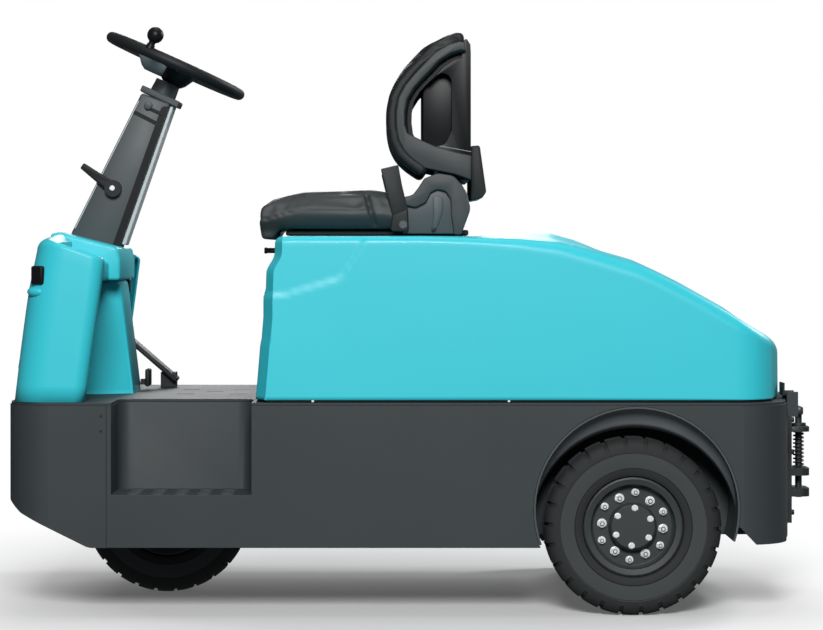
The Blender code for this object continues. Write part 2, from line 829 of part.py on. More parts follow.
def steering_wheel():
    rim = bmesh.new()
    matrix = frame_on(STEERING_CENTRE, column_direction())
    around = 44
    section = 10
    loops = []
    for step in range(around):
        angle = 2.0 * math.pi * step / around
        loop = []
        for turn in range(section):
            swing = 2.0 * math.pi * turn / section
            reach = STEERING_RADIUS + 0.014 * math.cos(swing)
            spot = Vector((reach * math.cos(angle), reach * math.sin(angle), 0.014 * math.sin(swing)))
            loop.append(rim.verts.new(matrix @ spot))
        loops.append(loop)
    for step in range(around):
        here = loops[step]
        there = loops[(step + 1) % around]
        for turn in range(section):
            after = (turn + 1) % section
            rim.faces.new([here[turn], here[after], there[after], there[turn]])
    dish = [
        (0.0, -0.0455),
        (0.028, -0.0455),
        (0.040, -0.036),
        (0.058, -0.012),
        (0.058, -0.004),
        (0.050, 0.0),
        (0.0, 0.004),
    ]
    hub = lathe(dish, STEERING_CENTRE, column_direction(), 36, ring=False)
    spokes = []
    for angle in (90.0, 210.0, 330.0):
        spoke = soften(box((0.040, STEERING_RADIUS), (-0.016, 0.016), (-0.012, -0.003)), 0.003, 1)
        bmesh.ops.transform(
            spoke, matrix=matrix @ Matrix.Rotation(math.radians(angle), 4, "Z"), verts=spoke.verts
        )
        spokes.append(spoke)
    stem = rod(knob_place(0.0050), knob_place(0.030), 0.009, segments=16)
    ball = bmesh.new()
    place = Matrix.Translation(Vector(knob_place(0.044)))
    bmesh.ops.create_uvsphere(ball, u_segments=16, v_segments=10, radius=0.0205, matrix=place)
    return joined(rim, hub, stem, ball, *spokes)


def knob_place(height):
    angle = math.radians(70.0)
    return along_column(height, STEERING_RADIUS * math.cos(angle), STEERING_RADIUS * math.sin(angle))


# Bonnet -----------------------------------------------------------------------------------------
BONNET_CENTRE = [
    (0.360, 0.8830),
    (0.300, 0.8860),
    (-0.240, 0.8860),
    (-0.320, 0.8800),
    (-0.405, 0.8620),
    (-0.509, 0.8360),
    (-0.613, 0.7970),
    (-0.716, 0.7410),
    (-0.818, 0.6690),
    (-0.900, 0.6040),
]

BONNET_HUMP = [(-0.225, 0.0), (-0.249, 0.0120), (-0.302, 0.0130), (-0.370, 0.0110), (-0.420, 0.0)]
HUMP_FLAT = 0.140
HUMP_EDGE = 0.260


def between(table, x):
    """Linear reading of a table whose first column falls."""
    if x >= table[0][0]:
        return table[0][1]
    for (x0, v0), (x1, v1) in zip(table, table[1:]):
        if x >= x1:
            return v0 + (v1 - v0) * (x - x0) / (x1 - x0)
    return table[-1][1]


def bonnet_surface(x, y):
    """Height of the bonnet top: a crowned sheet with a low hump behind the seat."""
    crown = 0.003 + 0.017 * min(1.0, max(0.0, -x / 0.6))
    middle = min(1.0, max(0.0, (HUMP_EDGE - abs(y)) / (HUMP_EDGE - HUMP_FLAT)))
    hump = between(BONNET_HUMP, x) * middle
    return between(BONNET_CENTRE, x) + hump - crown * (y / HALF_WIDTH) ** 2


def bonnet_plan(inset):
    """Bottom outline of the bonnet as (x, y, outward x, outward y)."""
    front = BONNET_FRONT_X
    half = 0.487
    back = BONNET_REAR_X
    corner = 0.100
    corner_y = half - corner
    corner_x = back + REAR_BOW * corner_y**2 + corner
    right = []
    for step in range(9):
        angle = math.pi / 2.0 * step / 8
        reach = corner - inset
        right.append((corner_x - reach * math.sin(angle), -(corner_y + reach * math.cos(angle))))
    for step in range(1, 5):
        y = -corner_y * (1.0 - step / 4)
        right.append((back + inset + REAR_BOW * y**2, y))
    side = []
    for x in (0.30, 0.10, -0.10, -0.24, -0.32, -0.405, -0.509, -0.613, -0.69):
        side.append((x, -half + inset))
    nose = []
    front_corner = 0.045
    radius = front_corner - inset
    for step in range(7):
        angle = math.pi / 2.0 * step / 6
        x = front - front_corner + radius * math.cos(angle)
        nose.append((x, -(half - front_corner + radius * math.sin(angle))))
    nose.insert(0, (front - inset, -0.22))
    nose.insert(0, (front - inset, 0.0))
    half_loop = nose + side + right
    return half_loop + [(x, -y) for x, y in reversed(half_loop[1:-1])]


def bonnet_rings(inset, lowest):
    """Rings of the bonnet skin, from the bottom edge up and over to the middle of the top."""
    base = DECK_TOP + GAP
    fillet = 0.030 - inset
    plan = bonnet_plan(inset)
    rings = []

    def leaned(x, y, z, pull):
        share = (z - base) / (BONNET_TOP - base)
        front_share = min(1.0, max(0.0, (x + 0.2) / 0.5))
        lean = 0.043 * front_share + 0.004
        x = x - share * lean * (1.0 if x > BONNET_MIDDLE_X else -0.6)
        y = y * (1.0 - 0.018 * share)
        return (BONNET_MIDDLE_X + (x - BONNET_MIDDLE_X) * (1.0 - pull / 0.60), y * (1.0 - pull / 0.44), z)

    rings.append([leaned(x, y, lowest, 0.0) for x, y in plan])
    for step in range(5):
        angle = math.pi / 2.0 * step / 4
        pull = fillet * (1.0 - math.cos(angle))
        drop = fillet * (1.0 - math.sin(angle))
        ring = []
        for x, y in plan:
            px, py, _ = leaned(x, y, BONNET_TOP, pull)
            top = bonnet_surface(px, py) - inset - drop
            px, py, _ = leaned(x, y, top, pull)
            ring.append((px, py, top))
        rings.append(ring)
    last = rings[-1]
    for share in (0.86, 0.70, 0.50, 0.28, 0.10):
        ring = []
        for x, y, _ in last:
            px = BONNET_MIDDLE_X + (x - BONNET_MIDDLE_X) * (0.5 + 0.5 * share)
            py = y * share
            ring.append((px, py, bonnet_surface(px, py) - inset))
        rings.append(ring)
    return rings


def bonnet_shell():
    outer = bonnet_rings(0.0, DECK_TOP + GAP)
    inner = bonnet_rings(BONNET_WALL, DECK_TOP + GAP)
    bm = bmesh.new()
    rows = [[bm.verts.new(p) for p in ring] for ring in list(reversed(inner)) + outer]
    for lower, upper in zip(rows, rows[1:]):
        for index in range(len(lower)):
            after = (index + 1) % len(lower)
            bm.faces.new([lower[index], lower[after], upper[after], upper[index]])
    for row in (rows[0], rows[-1]):
        count = len(row)
        half = count // 2
        for index in range(half):
            far = count - index
            corners = [row[index], row[index + 1], row[(far - 1) % count], row[far % count]]
            unique = []
            for corner in corners:
                if corner not in unique:
                    unique.append(corner)
            if len(unique) > 2:
                bm.faces.new(unique)
    return bm


def bonnet_hinge():
    pivot_x, pivot_z = BONNET_PIVOT
    inner = HINGE_Y - HINGE_HALF
    outer = HINGE_Y + HINGE_HALF
    barrel = rod((pivot_x, inner, pivot_z), (pivot_x, outer, pivot_z), 0.0070, segments=20)
    leaf = box((pivot_x, HINGE_LEAF_X), (inner, outer), (pivot_z, pivot_z + 0.0065))
    upright = box((HINGE_LEAF_X - 0.0050, HINGE_LEAF_X + 0.0002), (inner, outer), (pivot_z, pivot_z + 0.030))
    return joined(barrel, leaf, upright)


def bonnet_release():
    return rod((0.3487, 0.120, 0.850), (0.3850, 0.120, 0.850), 0.008, segments=20)


# Seat -------------------------------------------------------------------------------------------
def seat_base():
    return soften(box((-0.115, 0.330), (-0.185, 0.185), (SEAT_Z, SEAT_Z + 0.014)), 0.003, 1)


def seat_cushion():
    low = SEAT_Z + 0.014 + GAP
    outline = [
        (0.360, low, 0.015),
        (0.393, low + 0.035, 0.020),
        (0.385, 0.965, 0.022),
        (0.300, 0.984, 0.060),
        (0.117, 0.990, 0.060),
        (0.0250, 0.976, 0.015),
        (0.0215, low, 0.010),
    ]
    body = prism(round_corners(outline, 4), -SEAT_HALF_WIDTH, SEAT_HALF_WIDTH, "y")
    return soften(body, 0.018, 3, 50.0)


SEAT_BACK_FRONT = [
    (-0.001, 1.025),
    (0.0240, 1.0410),
    (0.0440, 1.0560),
    (0.0650, 1.0780),
    (0.0800, 1.1080),
    (0.0870, 1.1450),
    (0.0880, 1.1850),
    (0.0820, 1.2240),
    (0.0640, 1.2600),
    (0.0390, 1.2920),
    (0.0110, 1.3220),
    (-0.0190, 1.3520),
    (-0.0580, 1.3740),
    (-0.0880, 1.3825),
]


SEAT_BACK_MIDDLE = (-0.115, 1.190)
SEAT_BACK_THICKNESS = 0.066
SEAT_SLOT_X = -0.003
SEAT_SLOT_Z = (1.141, 1.233)


def pad_line(depth):
    """The front line of the back pad moved in by a depth."""
    middle = Vector(SEAT_BACK_MIDDLE)
    moved = []
    for point in SEAT_BACK_FRONT:
        spot = Vector(point)
        spot += (middle - spot).normalized() * depth
        moved.append((spot.x, spot.y))
    return moved


def seat_back():
    """The curved pad: its front line, and the same line moved back for the thickness."""
    outline = pad_line(0.0) + list(reversed(pad_line(SEAT_BACK_THICKNESS)))
    body = prism(outline, -SEAT_HALF_WIDTH, SEAT_HALF_WIDTH, "y")
    return soften(body, 0.014, 2, 50.0)


def seat_shell():
    """The rear casing. It carries the back pad, and a slot runs through it behind the pad's middle."""
    outline = [(-0.121, 1.010), (-0.055, 1.010)]
    outline += pad_line(SEAT_BACK_THICKNESS + 0.0004)
    outline += [(-0.0890, 1.3815), (-0.1020, 1.3740), (-0.1170, 1.3500), (-0.1210, 1.3300)]
    body = prism(outline, -0.215, 0.215, "y")
    stalk = box((-0.100, -0.030), (-0.170, 0.170), (SEAT_Z + 0.0143, 1.020))
    slot = box((SEAT_SLOT_X, 0.060), (-0.30, 0.30), SEAT_SLOT_Z)
    return cut(joined(body, stalk), slot)


def seat_recliner():
    outline = [
        (0.0185, SEAT_Z + 0.004, 0.006),
        (0.0140, 1.000, 0.030),
        (-0.045, 1.034, 0.050),
        (-0.108, 1.004, 0.040),
        (-0.120, 0.950, 0.030),
        (-0.098, SEAT_Z + 0.004, 0.006),
    ]
    inner = 0.2153
    return soften(prism(round_corners(outline, 5), inner, inner + 0.022, "y"), 0.005, 2, 50.0)


def hip_restraint():
    outline = [
        (0.100, 1.048, 0.004),
        (0.058, 1.058, 0.004),
        (0.030, 0.960, 0.010),
        (0.030, 0.895, 0.010),
        (0.078, 0.895, 0.012),
        (0.085, 0.960, 0.010),
    ]
    inner = SEAT_HALF_WIDTH + GAP
    return soften(prism(round_corners(outline, 4), inner, inner + 0.014, "y"), 0.003, 1, 50.0)


def document_pocket():
    outline = [
        (-0.1213, 1.105),
        (-0.1450, 1.107),
        (-0.1600, 0.995),
        (-0.1500, 0.978),
        (-0.1213, 0.974),
    ]
    return soften(prism(outline, -0.150, 0.150, "y"), 0.004, 2)


# Assembly ---------------------------------------------------------------------------------------
def carry(name, place, carried):
    """An empty on a joint's axis that carries the pieces that move with it."""
    empty = bpy.data.objects.new(name, None)
    empty.empty_display_size = 0.08
    empty.location = place
    bpy.context.scene.collection.objects.link(empty)
    for piece in carried:
        made = bpy.data.objects[piece]
        made.parent = empty
        made.location = -Vector(place)


def place_joints():
    carry(
        "bonnet_axis",
        (BONNET_PIVOT[0], 0.0, BONNET_PIVOT[1]),
        [
            "bonnet_shell",
            "bonnet_hinge_left",
            "bonnet_hinge_right",
            "bonnet_release",
            "seat_base",
            "seat_cushion",
            "seat_back",
            "seat_shell",
            "seat_recliner_left",
            "seat_recliner_right",
            "hip_restraint_left",
            "hip_restraint_right",
            "document_pocket",
        ],
    )
    carry("steer_axis", (FRONT_AXLE_X, 0.0, 0.0), ["steer_fork"])
    carry("front_wheel_axis", (FRONT_AXLE_X, 0.0, WHEEL_RADIUS), ["front_rim", "front_tyre"])
    carry("steering_wheel_axis", STEERING_CENTRE, ["steering_wheel"])
    carry("tow_pin_axis", (PIN_X, 0.0, 0.0), ["tow_pin"])
    for side, sign in (("left", 1.0), ("right", -1.0)):
        hub = (REAR_AXLE_X, sign * REAR_WHEEL_Y, WHEEL_RADIUS)
        carry("rear_axis_" + side, hub, ["rear_rim_" + side, "rear_tyre_" + side])


def build():
    clear_scene()
    node("frame_nose", frame_nose(), "chassis")
    both_sides("frame_side", frame_side, "chassis")
    node("frame_rear", frame_rear(), "chassis")
    node("deck_plate", deck_plate(), "chassis")
    node("battery_tray", battery_tray(), "chassis")
    both_sides("frame_rail", frame_rail, "chassis")
    both_sides("arch_liner", arch_liner, "plastic")
    node("drive_axle", drive_axle(), "chassis", True)
    node("battery", battery(), "battery")
    node("tow_coupling", tow_coupling(), "chassis")
    node("tow_pin", tow_pin(), "steel", True)
    node("cowl_shell", cowl_shell(), "teal", True)
    node("cowl_dash", cowl_dash(), "teal")
    node("leg_shield", leg_shield(), "teal")
    both_sides("headlamp", headlamp, "lamp")
    node("column_housing", column_housing(), "column")
    node("column_cover", column_cover(), "grey")
    node("column_lever", column_lever(), "plastic")
    node("accelerator_pedal", accelerator_pedal(), "plastic")
    node("brake_pedal", brake_pedal(), "plastic")
    node("steer_fork", steer_fork(), "chassis", True)
    node("front_rim", front_rim(), "chassis", True)
    node("front_tyre", tyre(0.0, FRONT_AXLE_X, FRONT_TYRE_WIDTH, 0.0322), "rubber", True)
    both_sides("rear_rim", rear_rim, "chassis", True)
    both_sides("rear_tyre", lambda: tyre(REAR_WHEEL_Y, REAR_AXLE_X, REAR_TYRE_WIDTH, 0.0362), "rubber", True)
    node("steering_wheel", steering_wheel(), "plastic", True)
    node("bonnet_shell", bonnet_shell(), "teal", True)
    both_sides("bonnet_hinge", bonnet_hinge, "plastic")
    node("bonnet_release", bonnet_release(), "plastic", True)
    node("seat_base", seat_base(), "plastic")
    node("seat_cushion", seat_cushion(), "seat", True)
    node("seat_back", seat_back(), "seat", True)
    node("seat_shell", seat_shell(), "plastic", True)
    both_sides("seat_recliner", seat_recliner, "plastic")
    both_sides("hip_restraint", hip_restraint, "plastic")
    node("document_pocket", document_pocket(), "plastic")
    place_joints()


build()
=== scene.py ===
# %% [markdown]
# # Electric tow tractor
# The tractor is already measured and packed: its frame holds every solid and joint. This script
# dresses that frame. It starts by loading it and by noting its size.

# %% Load the frame
import json
import math

import bmesh
import bpy
from mathutils import Matrix, Vector


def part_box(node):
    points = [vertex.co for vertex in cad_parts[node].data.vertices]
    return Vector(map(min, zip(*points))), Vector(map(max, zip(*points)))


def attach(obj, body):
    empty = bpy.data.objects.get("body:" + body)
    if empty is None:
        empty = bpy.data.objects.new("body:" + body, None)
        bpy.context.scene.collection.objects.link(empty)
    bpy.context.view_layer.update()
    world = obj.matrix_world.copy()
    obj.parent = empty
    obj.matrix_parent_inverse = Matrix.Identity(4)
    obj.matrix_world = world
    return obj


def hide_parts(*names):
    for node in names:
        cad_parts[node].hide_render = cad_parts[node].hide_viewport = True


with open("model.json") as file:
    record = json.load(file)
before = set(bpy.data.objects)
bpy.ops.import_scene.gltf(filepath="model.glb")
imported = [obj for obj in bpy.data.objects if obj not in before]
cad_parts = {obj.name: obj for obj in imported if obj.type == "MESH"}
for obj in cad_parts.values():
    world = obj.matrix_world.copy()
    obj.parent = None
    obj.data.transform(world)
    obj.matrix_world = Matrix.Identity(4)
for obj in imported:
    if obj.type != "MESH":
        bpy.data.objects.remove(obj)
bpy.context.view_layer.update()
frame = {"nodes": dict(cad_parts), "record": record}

bodies = {node: body for body, nodes in frame["record"]["behaviour"]["bodies"].items() for node in nodes}
low = {name: Vector(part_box(name)[0]) for name in frame["nodes"]}
high = {name: Vector(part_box(name)[1]) for name in frame["nodes"]}

# %% [markdown]
# ## Camera
# The tractor is seen from its left, from a little over six metres away, at the height of the
# bonnet's top. A long lens keeps the wheels round. The small shift leaves the camera level.

# %% Camera
half_width = high["frame_side_left"].y
camera_data = bpy.data.cameras.new("camera")
camera = bpy.data.objects.new("camera", camera_data)
bpy.context.scene.collection.objects.link(camera)
camera.location = (0.076, half_width + 6.125, 0.8526)
camera.rotation_euler = (math.radians(90), 0, math.radians(180))
camera_data.lens = 115.5
camera_data.sensor_width = 36.0
camera_data.shift_x = 0.0261
camera_data.shift_y = -0.0796
bpy.context.scene.camera = camera
print("camera lens", camera_data.lens)

# %% [markdown]
# ## Floor and light
# A pale floor that fades to white, a white surround that gives little light, and four soft lamps.
# The fade is painted light: the floor's own glow grows with distance from the tractor, whitening the
# floor and filling in its shadows away from it; near the tractor the shadows are the lamps' own.
# The strongest is high on the camera's side, so the side is even and the ends fall away to dark.

# %% Floor and surround
def set_sockets(node, **values):
    """Sets a node's sockets by their names, with underscores for spaces."""
    for socket, value in values.items():
        node.inputs[socket.replace("_", " ")].default_value = value
    return node


def add_node(tree, kind, **values):
    return set_sockets(tree.nodes.new("ShaderNode" + kind), **values)


floor_mesh = bmesh.new()
bmesh.ops.create_grid(floor_mesh, x_segments=1, y_segments=1, size=60.0)
floor_data = bpy.data.meshes.new("floor")
floor_mesh.to_mesh(floor_data)
floor_mesh.free()
floor = bpy.data.objects.new("floor", floor_data)
bpy.context.scene.collection.objects.link(floor)
floor_material = bpy.data.materials.new("pale_floor")
floor_material.use_nodes = True
tree = floor_material.node_tree
pale = tree.nodes["Principled BSDF"]
set_sockets(pale, Base_Color=(0.88, 0.88, 0.88, 1), Roughness=0.8, Specular_IOR_Level=0.1)
# Painted light: the floor glows more the further it lies from the tractor, up to plain white.
glow = add_node(tree, "Emission", Color=(1, 1, 1, 1), Strength=1.0)
where = add_node(tree, "TexCoord")
reach = add_node(tree, "VectorMath")
reach.operation = "LENGTH"
glow_with_distance = add_node(tree, "MapRange", From_Min=0.75, From_Max=1.9, To_Min=0.1)
blend = add_node(tree, "MixShader")
tree.links.new(where.outputs["Object"], reach.inputs[0])
tree.links.new(reach.outputs["Value"], glow_with_distance.inputs["Value"])
tree.links.new(glow_with_distance.outputs["Result"], blend.inputs["Fac"])
tree.links.new(pale.outputs["BSDF"], blend.inputs[1])
tree.links.new(glow.outputs["Emission"], blend.inputs[2])
tree.links.new(blend.outputs["Shader"], tree.nodes["Material Output"].inputs["Surface"])
floor_data.materials.append(floor_material)
floor.visible_diffuse = False
floor.visible_glossy = False

world = bpy.data.worlds.new("surround")
bpy.context.scene.world = world
world.use_nodes = True
tree = world.node_tree
dim = set_sockets(tree.nodes["Background"], Color=(0.93, 0.96, 1.0, 1), Strength=0.12)
white = add_node(tree, "Background", Color=(1, 1, 1, 1), Strength=1.0)
seen = add_node(tree, "LightPath")
choice = add_node(tree, "MixShader")
tree.links.new(seen.outputs["Is Camera Ray"], choice.inputs["Fac"])
tree.links.new(dim.outputs["Background"], choice.inputs[1])
tree.links.new(white.outputs["Background"], choice.inputs[2])
tree.links.new(choice.outputs["Shader"], tree.nodes["World Output"].inputs["Surface"])
bpy.context.scene.view_settings.view_transform = "Standard"
print("floor and surround made")

# %% [markdown]
# ### Lamps
# Each lamp is a square area light, which is what a photographer's soft box is. It is aimed by
# turning its own -Z axis at a target.

# %% Lamps
def soft_lamp(name, place, target, size, power):
    data = bpy.data.lights.new(name, "AREA")
    data.shape = "SQUARE"
    data.size = size
    data.energy = power
    lamp = bpy.data.objects.new(name, data)
    lamp.location = place
    lamp.rotation_euler = (Vector(target) - Vector(place)).to_track_quat("-Z", "Y").to_euler()
    bpy.context.scene.collection.objects.link(lamp)


soft_lamp("lamp_side", (0.1, 7.6, 4.3), (0.0, 0, 0.6), 2.2, 620)
soft_lamp("lamp_top", (-0.2, -0.4, 5.5), (-0.1, 0, 0.5), 3.0, 60)
soft_lamp("lamp_far_side", (0.3, -7.0, 3.4), (0.0, 0, 0.6), 2.6, 170)
soft_lamp("lamp_rear", (-3.8, -2.6, 3.0), (-0.2, 0, 0.8), 1.6, 120)
print("lamps", len(bpy.data.lights))

# %% [markdown]
# ## Finishes
# Each finish is a Principled shader. Two noise textures on Object coordinates do most of the work:
# a broad one shifts the colour and the roughness a little, as real paint and plastic do, and a
# fine one feeds a Bump node for orange peel, powder-coat grain or moulded texture.

# %% Finish helper
finishes = {}


def finish(name, colour, roughness, grain=400.0, depth=0.0003, spread=0.08, patch=6.0, **sockets):
    """A Principled material whose colour, roughness and fine relief vary over the piece."""
    material = bpy.data.materials.new(name)
    material.use_nodes = True
    tree = material.node_tree
    shader = set_sockets(tree.nodes["Principled BSDF"], **sockets)
    where = add_node(tree, "TexCoord")
    broad = add_node(tree, "TexNoise", Scale=patch, Detail=5.0)
    fine = add_node(tree, "TexNoise", Scale=grain, Detail=3.0)
    tint = tree.nodes.new("ShaderNodeValToRGB")
    for element, place, change in zip(tint.color_ramp.elements, (0.3, 0.7), (-spread, spread)):
        element.position = place
        element.color = (*[min(1.0, c * (1.0 + change)) for c in colour], 1)
    rough = add_node(tree, "MapRange", To_Min=max(0.02, roughness - 0.08), To_Max=min(1.0, roughness + 0.08))
    bump = add_node(tree, "Bump", Strength=0.6, Distance=depth)
    tree.links.new(where.outputs["Object"], broad.inputs["Vector"])
    tree.links.new(where.outputs["Object"], fine.inputs["Vector"])
    tree.links.new(broad.outputs["Fac"], tint.inputs["Fac"])
    tree.links.new(tint.outputs["Color"], shader.inputs["Base Color"])
    tree.links.new(broad.outputs["Fac"], rough.inputs["Value"])
    tree.links.new(rough.outputs["Result"], shader.inputs["Roughness"])
    tree.links.new(fine.outputs["Fac"], bump.inputs["Height"])
    tree.links.new(bump.outputs["Normal"], shader.inputs["Normal"])
    finishes[name] = material


print("finish helper ready")

# %% [markdown]
# ## Paints, plastics, rubber and metal
# The bonnet and cowl have a satin turquoise paint with a faint orange peel. The chassis and column
# are powder coated in two dark greys. Black moulded plastic, vinyl, rubber and plated steel finish
# the rest.

# %% Finishes
finish("teal_paint", (0.04, 0.59, 0.69), 0.42, grain=260, depth=0.00012, spread=0.025, patch=2.0,
       Coat_Weight=0.05, Specular_IOR_Level=0.35)
finish("chassis_paint", (0.036, 0.045, 0.048), 0.6, grain=900, depth=0.00035, spread=0.07, patch=4.0,
       Specular_IOR_Level=0.35)
finish("column_paint", (0.05, 0.062, 0.066), 0.52, grain=900, depth=0.0003, spread=0.05)
finish("dark_plastic", (0.011, 0.013, 0.014), 0.55, grain=1300, depth=0.00035, spread=0.12,
       Specular_IOR_Level=0.3)
finish("gloss_plastic_black", (0.006, 0.007, 0.008), 0.4, grain=300, depth=0.00005, spread=0.1,
       Specular_IOR_Level=0.2)
# A lighter grey than the liner's: painted light for the soft light on the arch flares.
finish("flare_grey_painted_light", (0.19, 0.215, 0.225), 0.6, grain=900, depth=0.0004, spread=0.1)
finish("liner_plastic", (0.06, 0.072, 0.076), 0.65, grain=900, depth=0.0004, spread=0.1)
finish("grey_plastic", (0.56, 0.61, 0.62), 0.5, grain=1100, depth=0.0003, spread=0.05)
finish("dish_grey", (0.22, 0.26, 0.27), 0.45, grain=1100, depth=0.0003, spread=0.05)
finish("tyre_rubber", (0.016, 0.017, 0.018), 0.78, grain=700, depth=0.0004, spread=0.15, patch=9.0)
finish("sidewall_rubber", (0.036, 0.043, 0.045), 0.7, grain=900, depth=0.0003, spread=0.1, patch=9.0)
finish("rim_paint", (0.028, 0.034, 0.036), 0.5, grain=700, depth=0.0002, spread=0.06)
finish("bright_steel", (0.88, 0.9, 0.91), 0.34, grain=500, depth=0.00008, spread=0.05, Metallic=0.3)
finish("dark_steel", (0.065, 0.072, 0.076), 0.42, grain=500, depth=0.00015, spread=0.12, Metallic=0.7)
finish("lamp_white", (0.86, 0.88, 0.89), 0.12, grain=120, depth=0.0002, spread=0.02, Coat_Weight=0.6)
finish("battery_case", (0.06, 0.066, 0.07), 0.55, grain=600, depth=0.0003, spread=0.08)
# A darker copy of the seat vinyl for the back pad: painted shade.
finish("pad_vinyl_painted_shade", (0.01, 0.012, 0.013), 0.5, grain=1500, depth=0.0005, spread=0.12, Specular_IOR_Level=0.3)
finish("seat_vinyl", (0.03, 0.036, 0.038), 0.5, grain=1500, depth=0.0005, spread=0.12, Specular_IOR_Level=0.4)
finish("seat_moulding", (0.03, 0.036, 0.038), 0.55, grain=1100, depth=0.0003, spread=0.08)
print("finishes", len(finishes))

# %% [markdown]
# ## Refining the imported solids
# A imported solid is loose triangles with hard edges. Real plate and mouldings have small rounded
# edges that catch the light. The helper copies a node, welds it, drops the extra edges on flat
# faces, and lets a Bevel modifier round what is left.

# %% Helpers for new pieces
def piece(name, bm, material, body, stands_for=(), smooth=35.0, bevel=0.0, segments=2):
    """Turns a bmesh into a smooth-shaded visible piece that rides on a body and may stand for nodes."""
    mesh = bpy.data.meshes.new(name)
    bm.to_mesh(mesh)
    bm.free()
    made = bpy.data.objects.new(name, mesh)
    bpy.context.scene.collection.objects.link(made)
    mesh.materials.append(finishes[material])
    for face in mesh.polygons:
        face.use_smooth = True
    mesh.set_sharp_from_angle(angle=math.radians(smooth))
    if bevel:
        rounding = made.modifiers.new("rounding", "BEVEL")
        rounding.width = bevel
        rounding.segments = segments
        rounding.limit_method = "ANGLE"
        rounding.angle_limit = math.radians(32)
        rounding.harden_normals = True
    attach(made, body)
    if stands_for:
        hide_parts(*stands_for)
    return made


def welded_copy(node):
    """A node's triangles as one welded mesh with its flat faces whole."""
    bm = bmesh.new()
    bm.from_mesh(frame["nodes"][node].data)
    bmesh.ops.remove_doubles(bm, verts=bm.verts, dist=1e-5)
    bmesh.ops.dissolve_limit(
        bm, angle_limit=math.radians(0.6), verts=bm.verts, edges=bm.edges, use_dissolve_boundaries=False
    )
    return bm


def refined(node, material, bevel=0.002, smooth=32.0, segments=2):
    bm = welded_copy(node)
    return piece(node + "_fine", bm, material, bodies[node], (node,), smooth, bevel, segments)


print("piece helpers ready")

# %% [markdown]
# ### Simple solids
# Blocks, round bars, bolts and turned sections are the everyday shapes of a machine. Each helper
# adds to a mesh or makes a new one, so that many small things can share one piece.

# %% Helpers for simple solids
def box(x, y, z):
    bm = bmesh.new()
    bmesh.ops.create_cube(bm, size=1.0)
    size = Vector((x[1] - x[0], y[1] - y[0], z[1] - z[0]))
    middle = Vector((x[0] + x[1], y[0] + y[1], z[0] + z[1])) / 2
    bmesh.ops.scale(bm, vec=size, verts=bm.verts)
    bmesh.ops.translate(bm, vec=middle, verts=bm.verts)
    return bm


def add_rod(bm, start, end, radius, end_radius=None, sides=24):
    """Adds a round bar, or a cone, between two points."""
    start, end = Vector(start), Vector(end)
    turn = Vector((0, 0, 1)).rotation_difference((end - start).normalized()).to_matrix().to_4x4()
    far = radius if end_radius is None else end_radius
    bmesh.ops.create_cone(
        bm, cap_ends=True, segments=sides, radius1=radius, radius2=far, depth=(end - start).length,
        matrix=Matrix.Translation((start + end) / 2) @ turn,
    )


def add_bolt(bm, place, direction, across, height):
    """A hexagon head on a washer."""
    place, direction = Vector(place), Vector(direction).normalized()
    add_rod(bm, place, place + direction * height * 0.22, across * 0.62, sides=20)
    top = place + direction * height
    add_rod(bm, place + direction * height * 0.18, top, across * 0.56, across * 0.53, 6)


def walled(made, thickness, offset=-1.0):
    """Gives an open skin its wall."""
    wall = made.modifiers.new("wall", "SOLIDIFY")
    wall.thickness = thickness
    wall.offset = offset


def spun(bm, axis, steps, centre=(0, 0, 0)):
    """Spins all of a mesh once round an axis and closes the seam."""
    everything = bm.verts[:] + bm.edges[:]
    bmesh.ops.spin(
        bm, geom=everything, cent=centre, axis=axis, angle=2 * math.pi, steps=steps, use_merge=True
    )
    bmesh.ops.remove_doubles(bm, verts=bm.verts, dist=1e-6)
    bmesh.ops.recalc_face_normals(bm, faces=bm.faces)
    return bm


def open_line(points):
    bm = bmesh.new()
    row = [bm.verts.new(point) for point in points]
    for pair in zip(row, row[1:]):
        bm.edges.new(pair)
    return bm


print("solid helpers ready")

# %% [markdown]
# ## Flat sections
# Many small parts are a flat outline with a thickness. The helper makes one face from the outline,
# extrudes it and rounds its edges. Corners may carry a radius of their own.

# %% Helper for flat sections
def rounded(corners, steps=5):
    """Outline points of corners (u, v, radius), each rounded by its radius."""
    points = []
    for index, (u, v, radius) in enumerate(corners):
        here = Vector((u, v))
        before = (Vector(corners[index - 1][:2]) - here).normalized()
        after = (Vector(corners[(index + 1) % len(corners)][:2]) - here).normalized()
        if radius <= 0:
            points.append(here)
            continue
        half = before.angle(after) / 2
        centre = here + (before + after).normalized() * (radius / math.sin(half))
        start = here + before * radius / math.tan(half) - centre
        turn = start.angle_signed(here + after * radius / math.tan(half) - centre)
        for step in range(steps + 1):
            swung = start.copy()
            swung.rotate(Matrix.Rotation(-turn * step / steps, 2))
            points.append(centre + swung)
    return points


def plate(corners, near, far, steps=5):
    """An outline in X and Z, pushed from one Y to another."""
    bm = bmesh.new()
    face = bm.faces.new([bm.verts.new((u, near, v)) for u, v in rounded(corners, steps)])
    pushed = bmesh.ops.extrude_face_region(bm, geom=[face])
    moved = [item for item in pushed["geom"] if isinstance(item, bmesh.types.BMVert)]
    bmesh.ops.translate(bm, vec=(0, far - near, 0), verts=moved)
    bmesh.ops.recalc_face_normals(bm, faces=bm.faces)
    return bm


def eased(bm, width, segments=3, least=30.0):
    """Rounds every edge that turns by more than a few degrees."""
    edges = [e for e in bm.edges if len(e.link_faces) == 2 and e.calc_face_angle(0) > math.radians(least)]
    bmesh.ops.bevel(
        bm, geom=edges, offset=width, segments=segments, profile=0.5, affect="EDGES", clamp_overlap=True,
        material=-1,
    )
    return bm


print("flat section helpers ready")

# %% [markdown]
# ### Joining, mirroring and easing
# Like shapes are gathered into one mesh, and a shape for the left side is turned over for the right
# side. Two small functions of a number serve all the curved skins below.

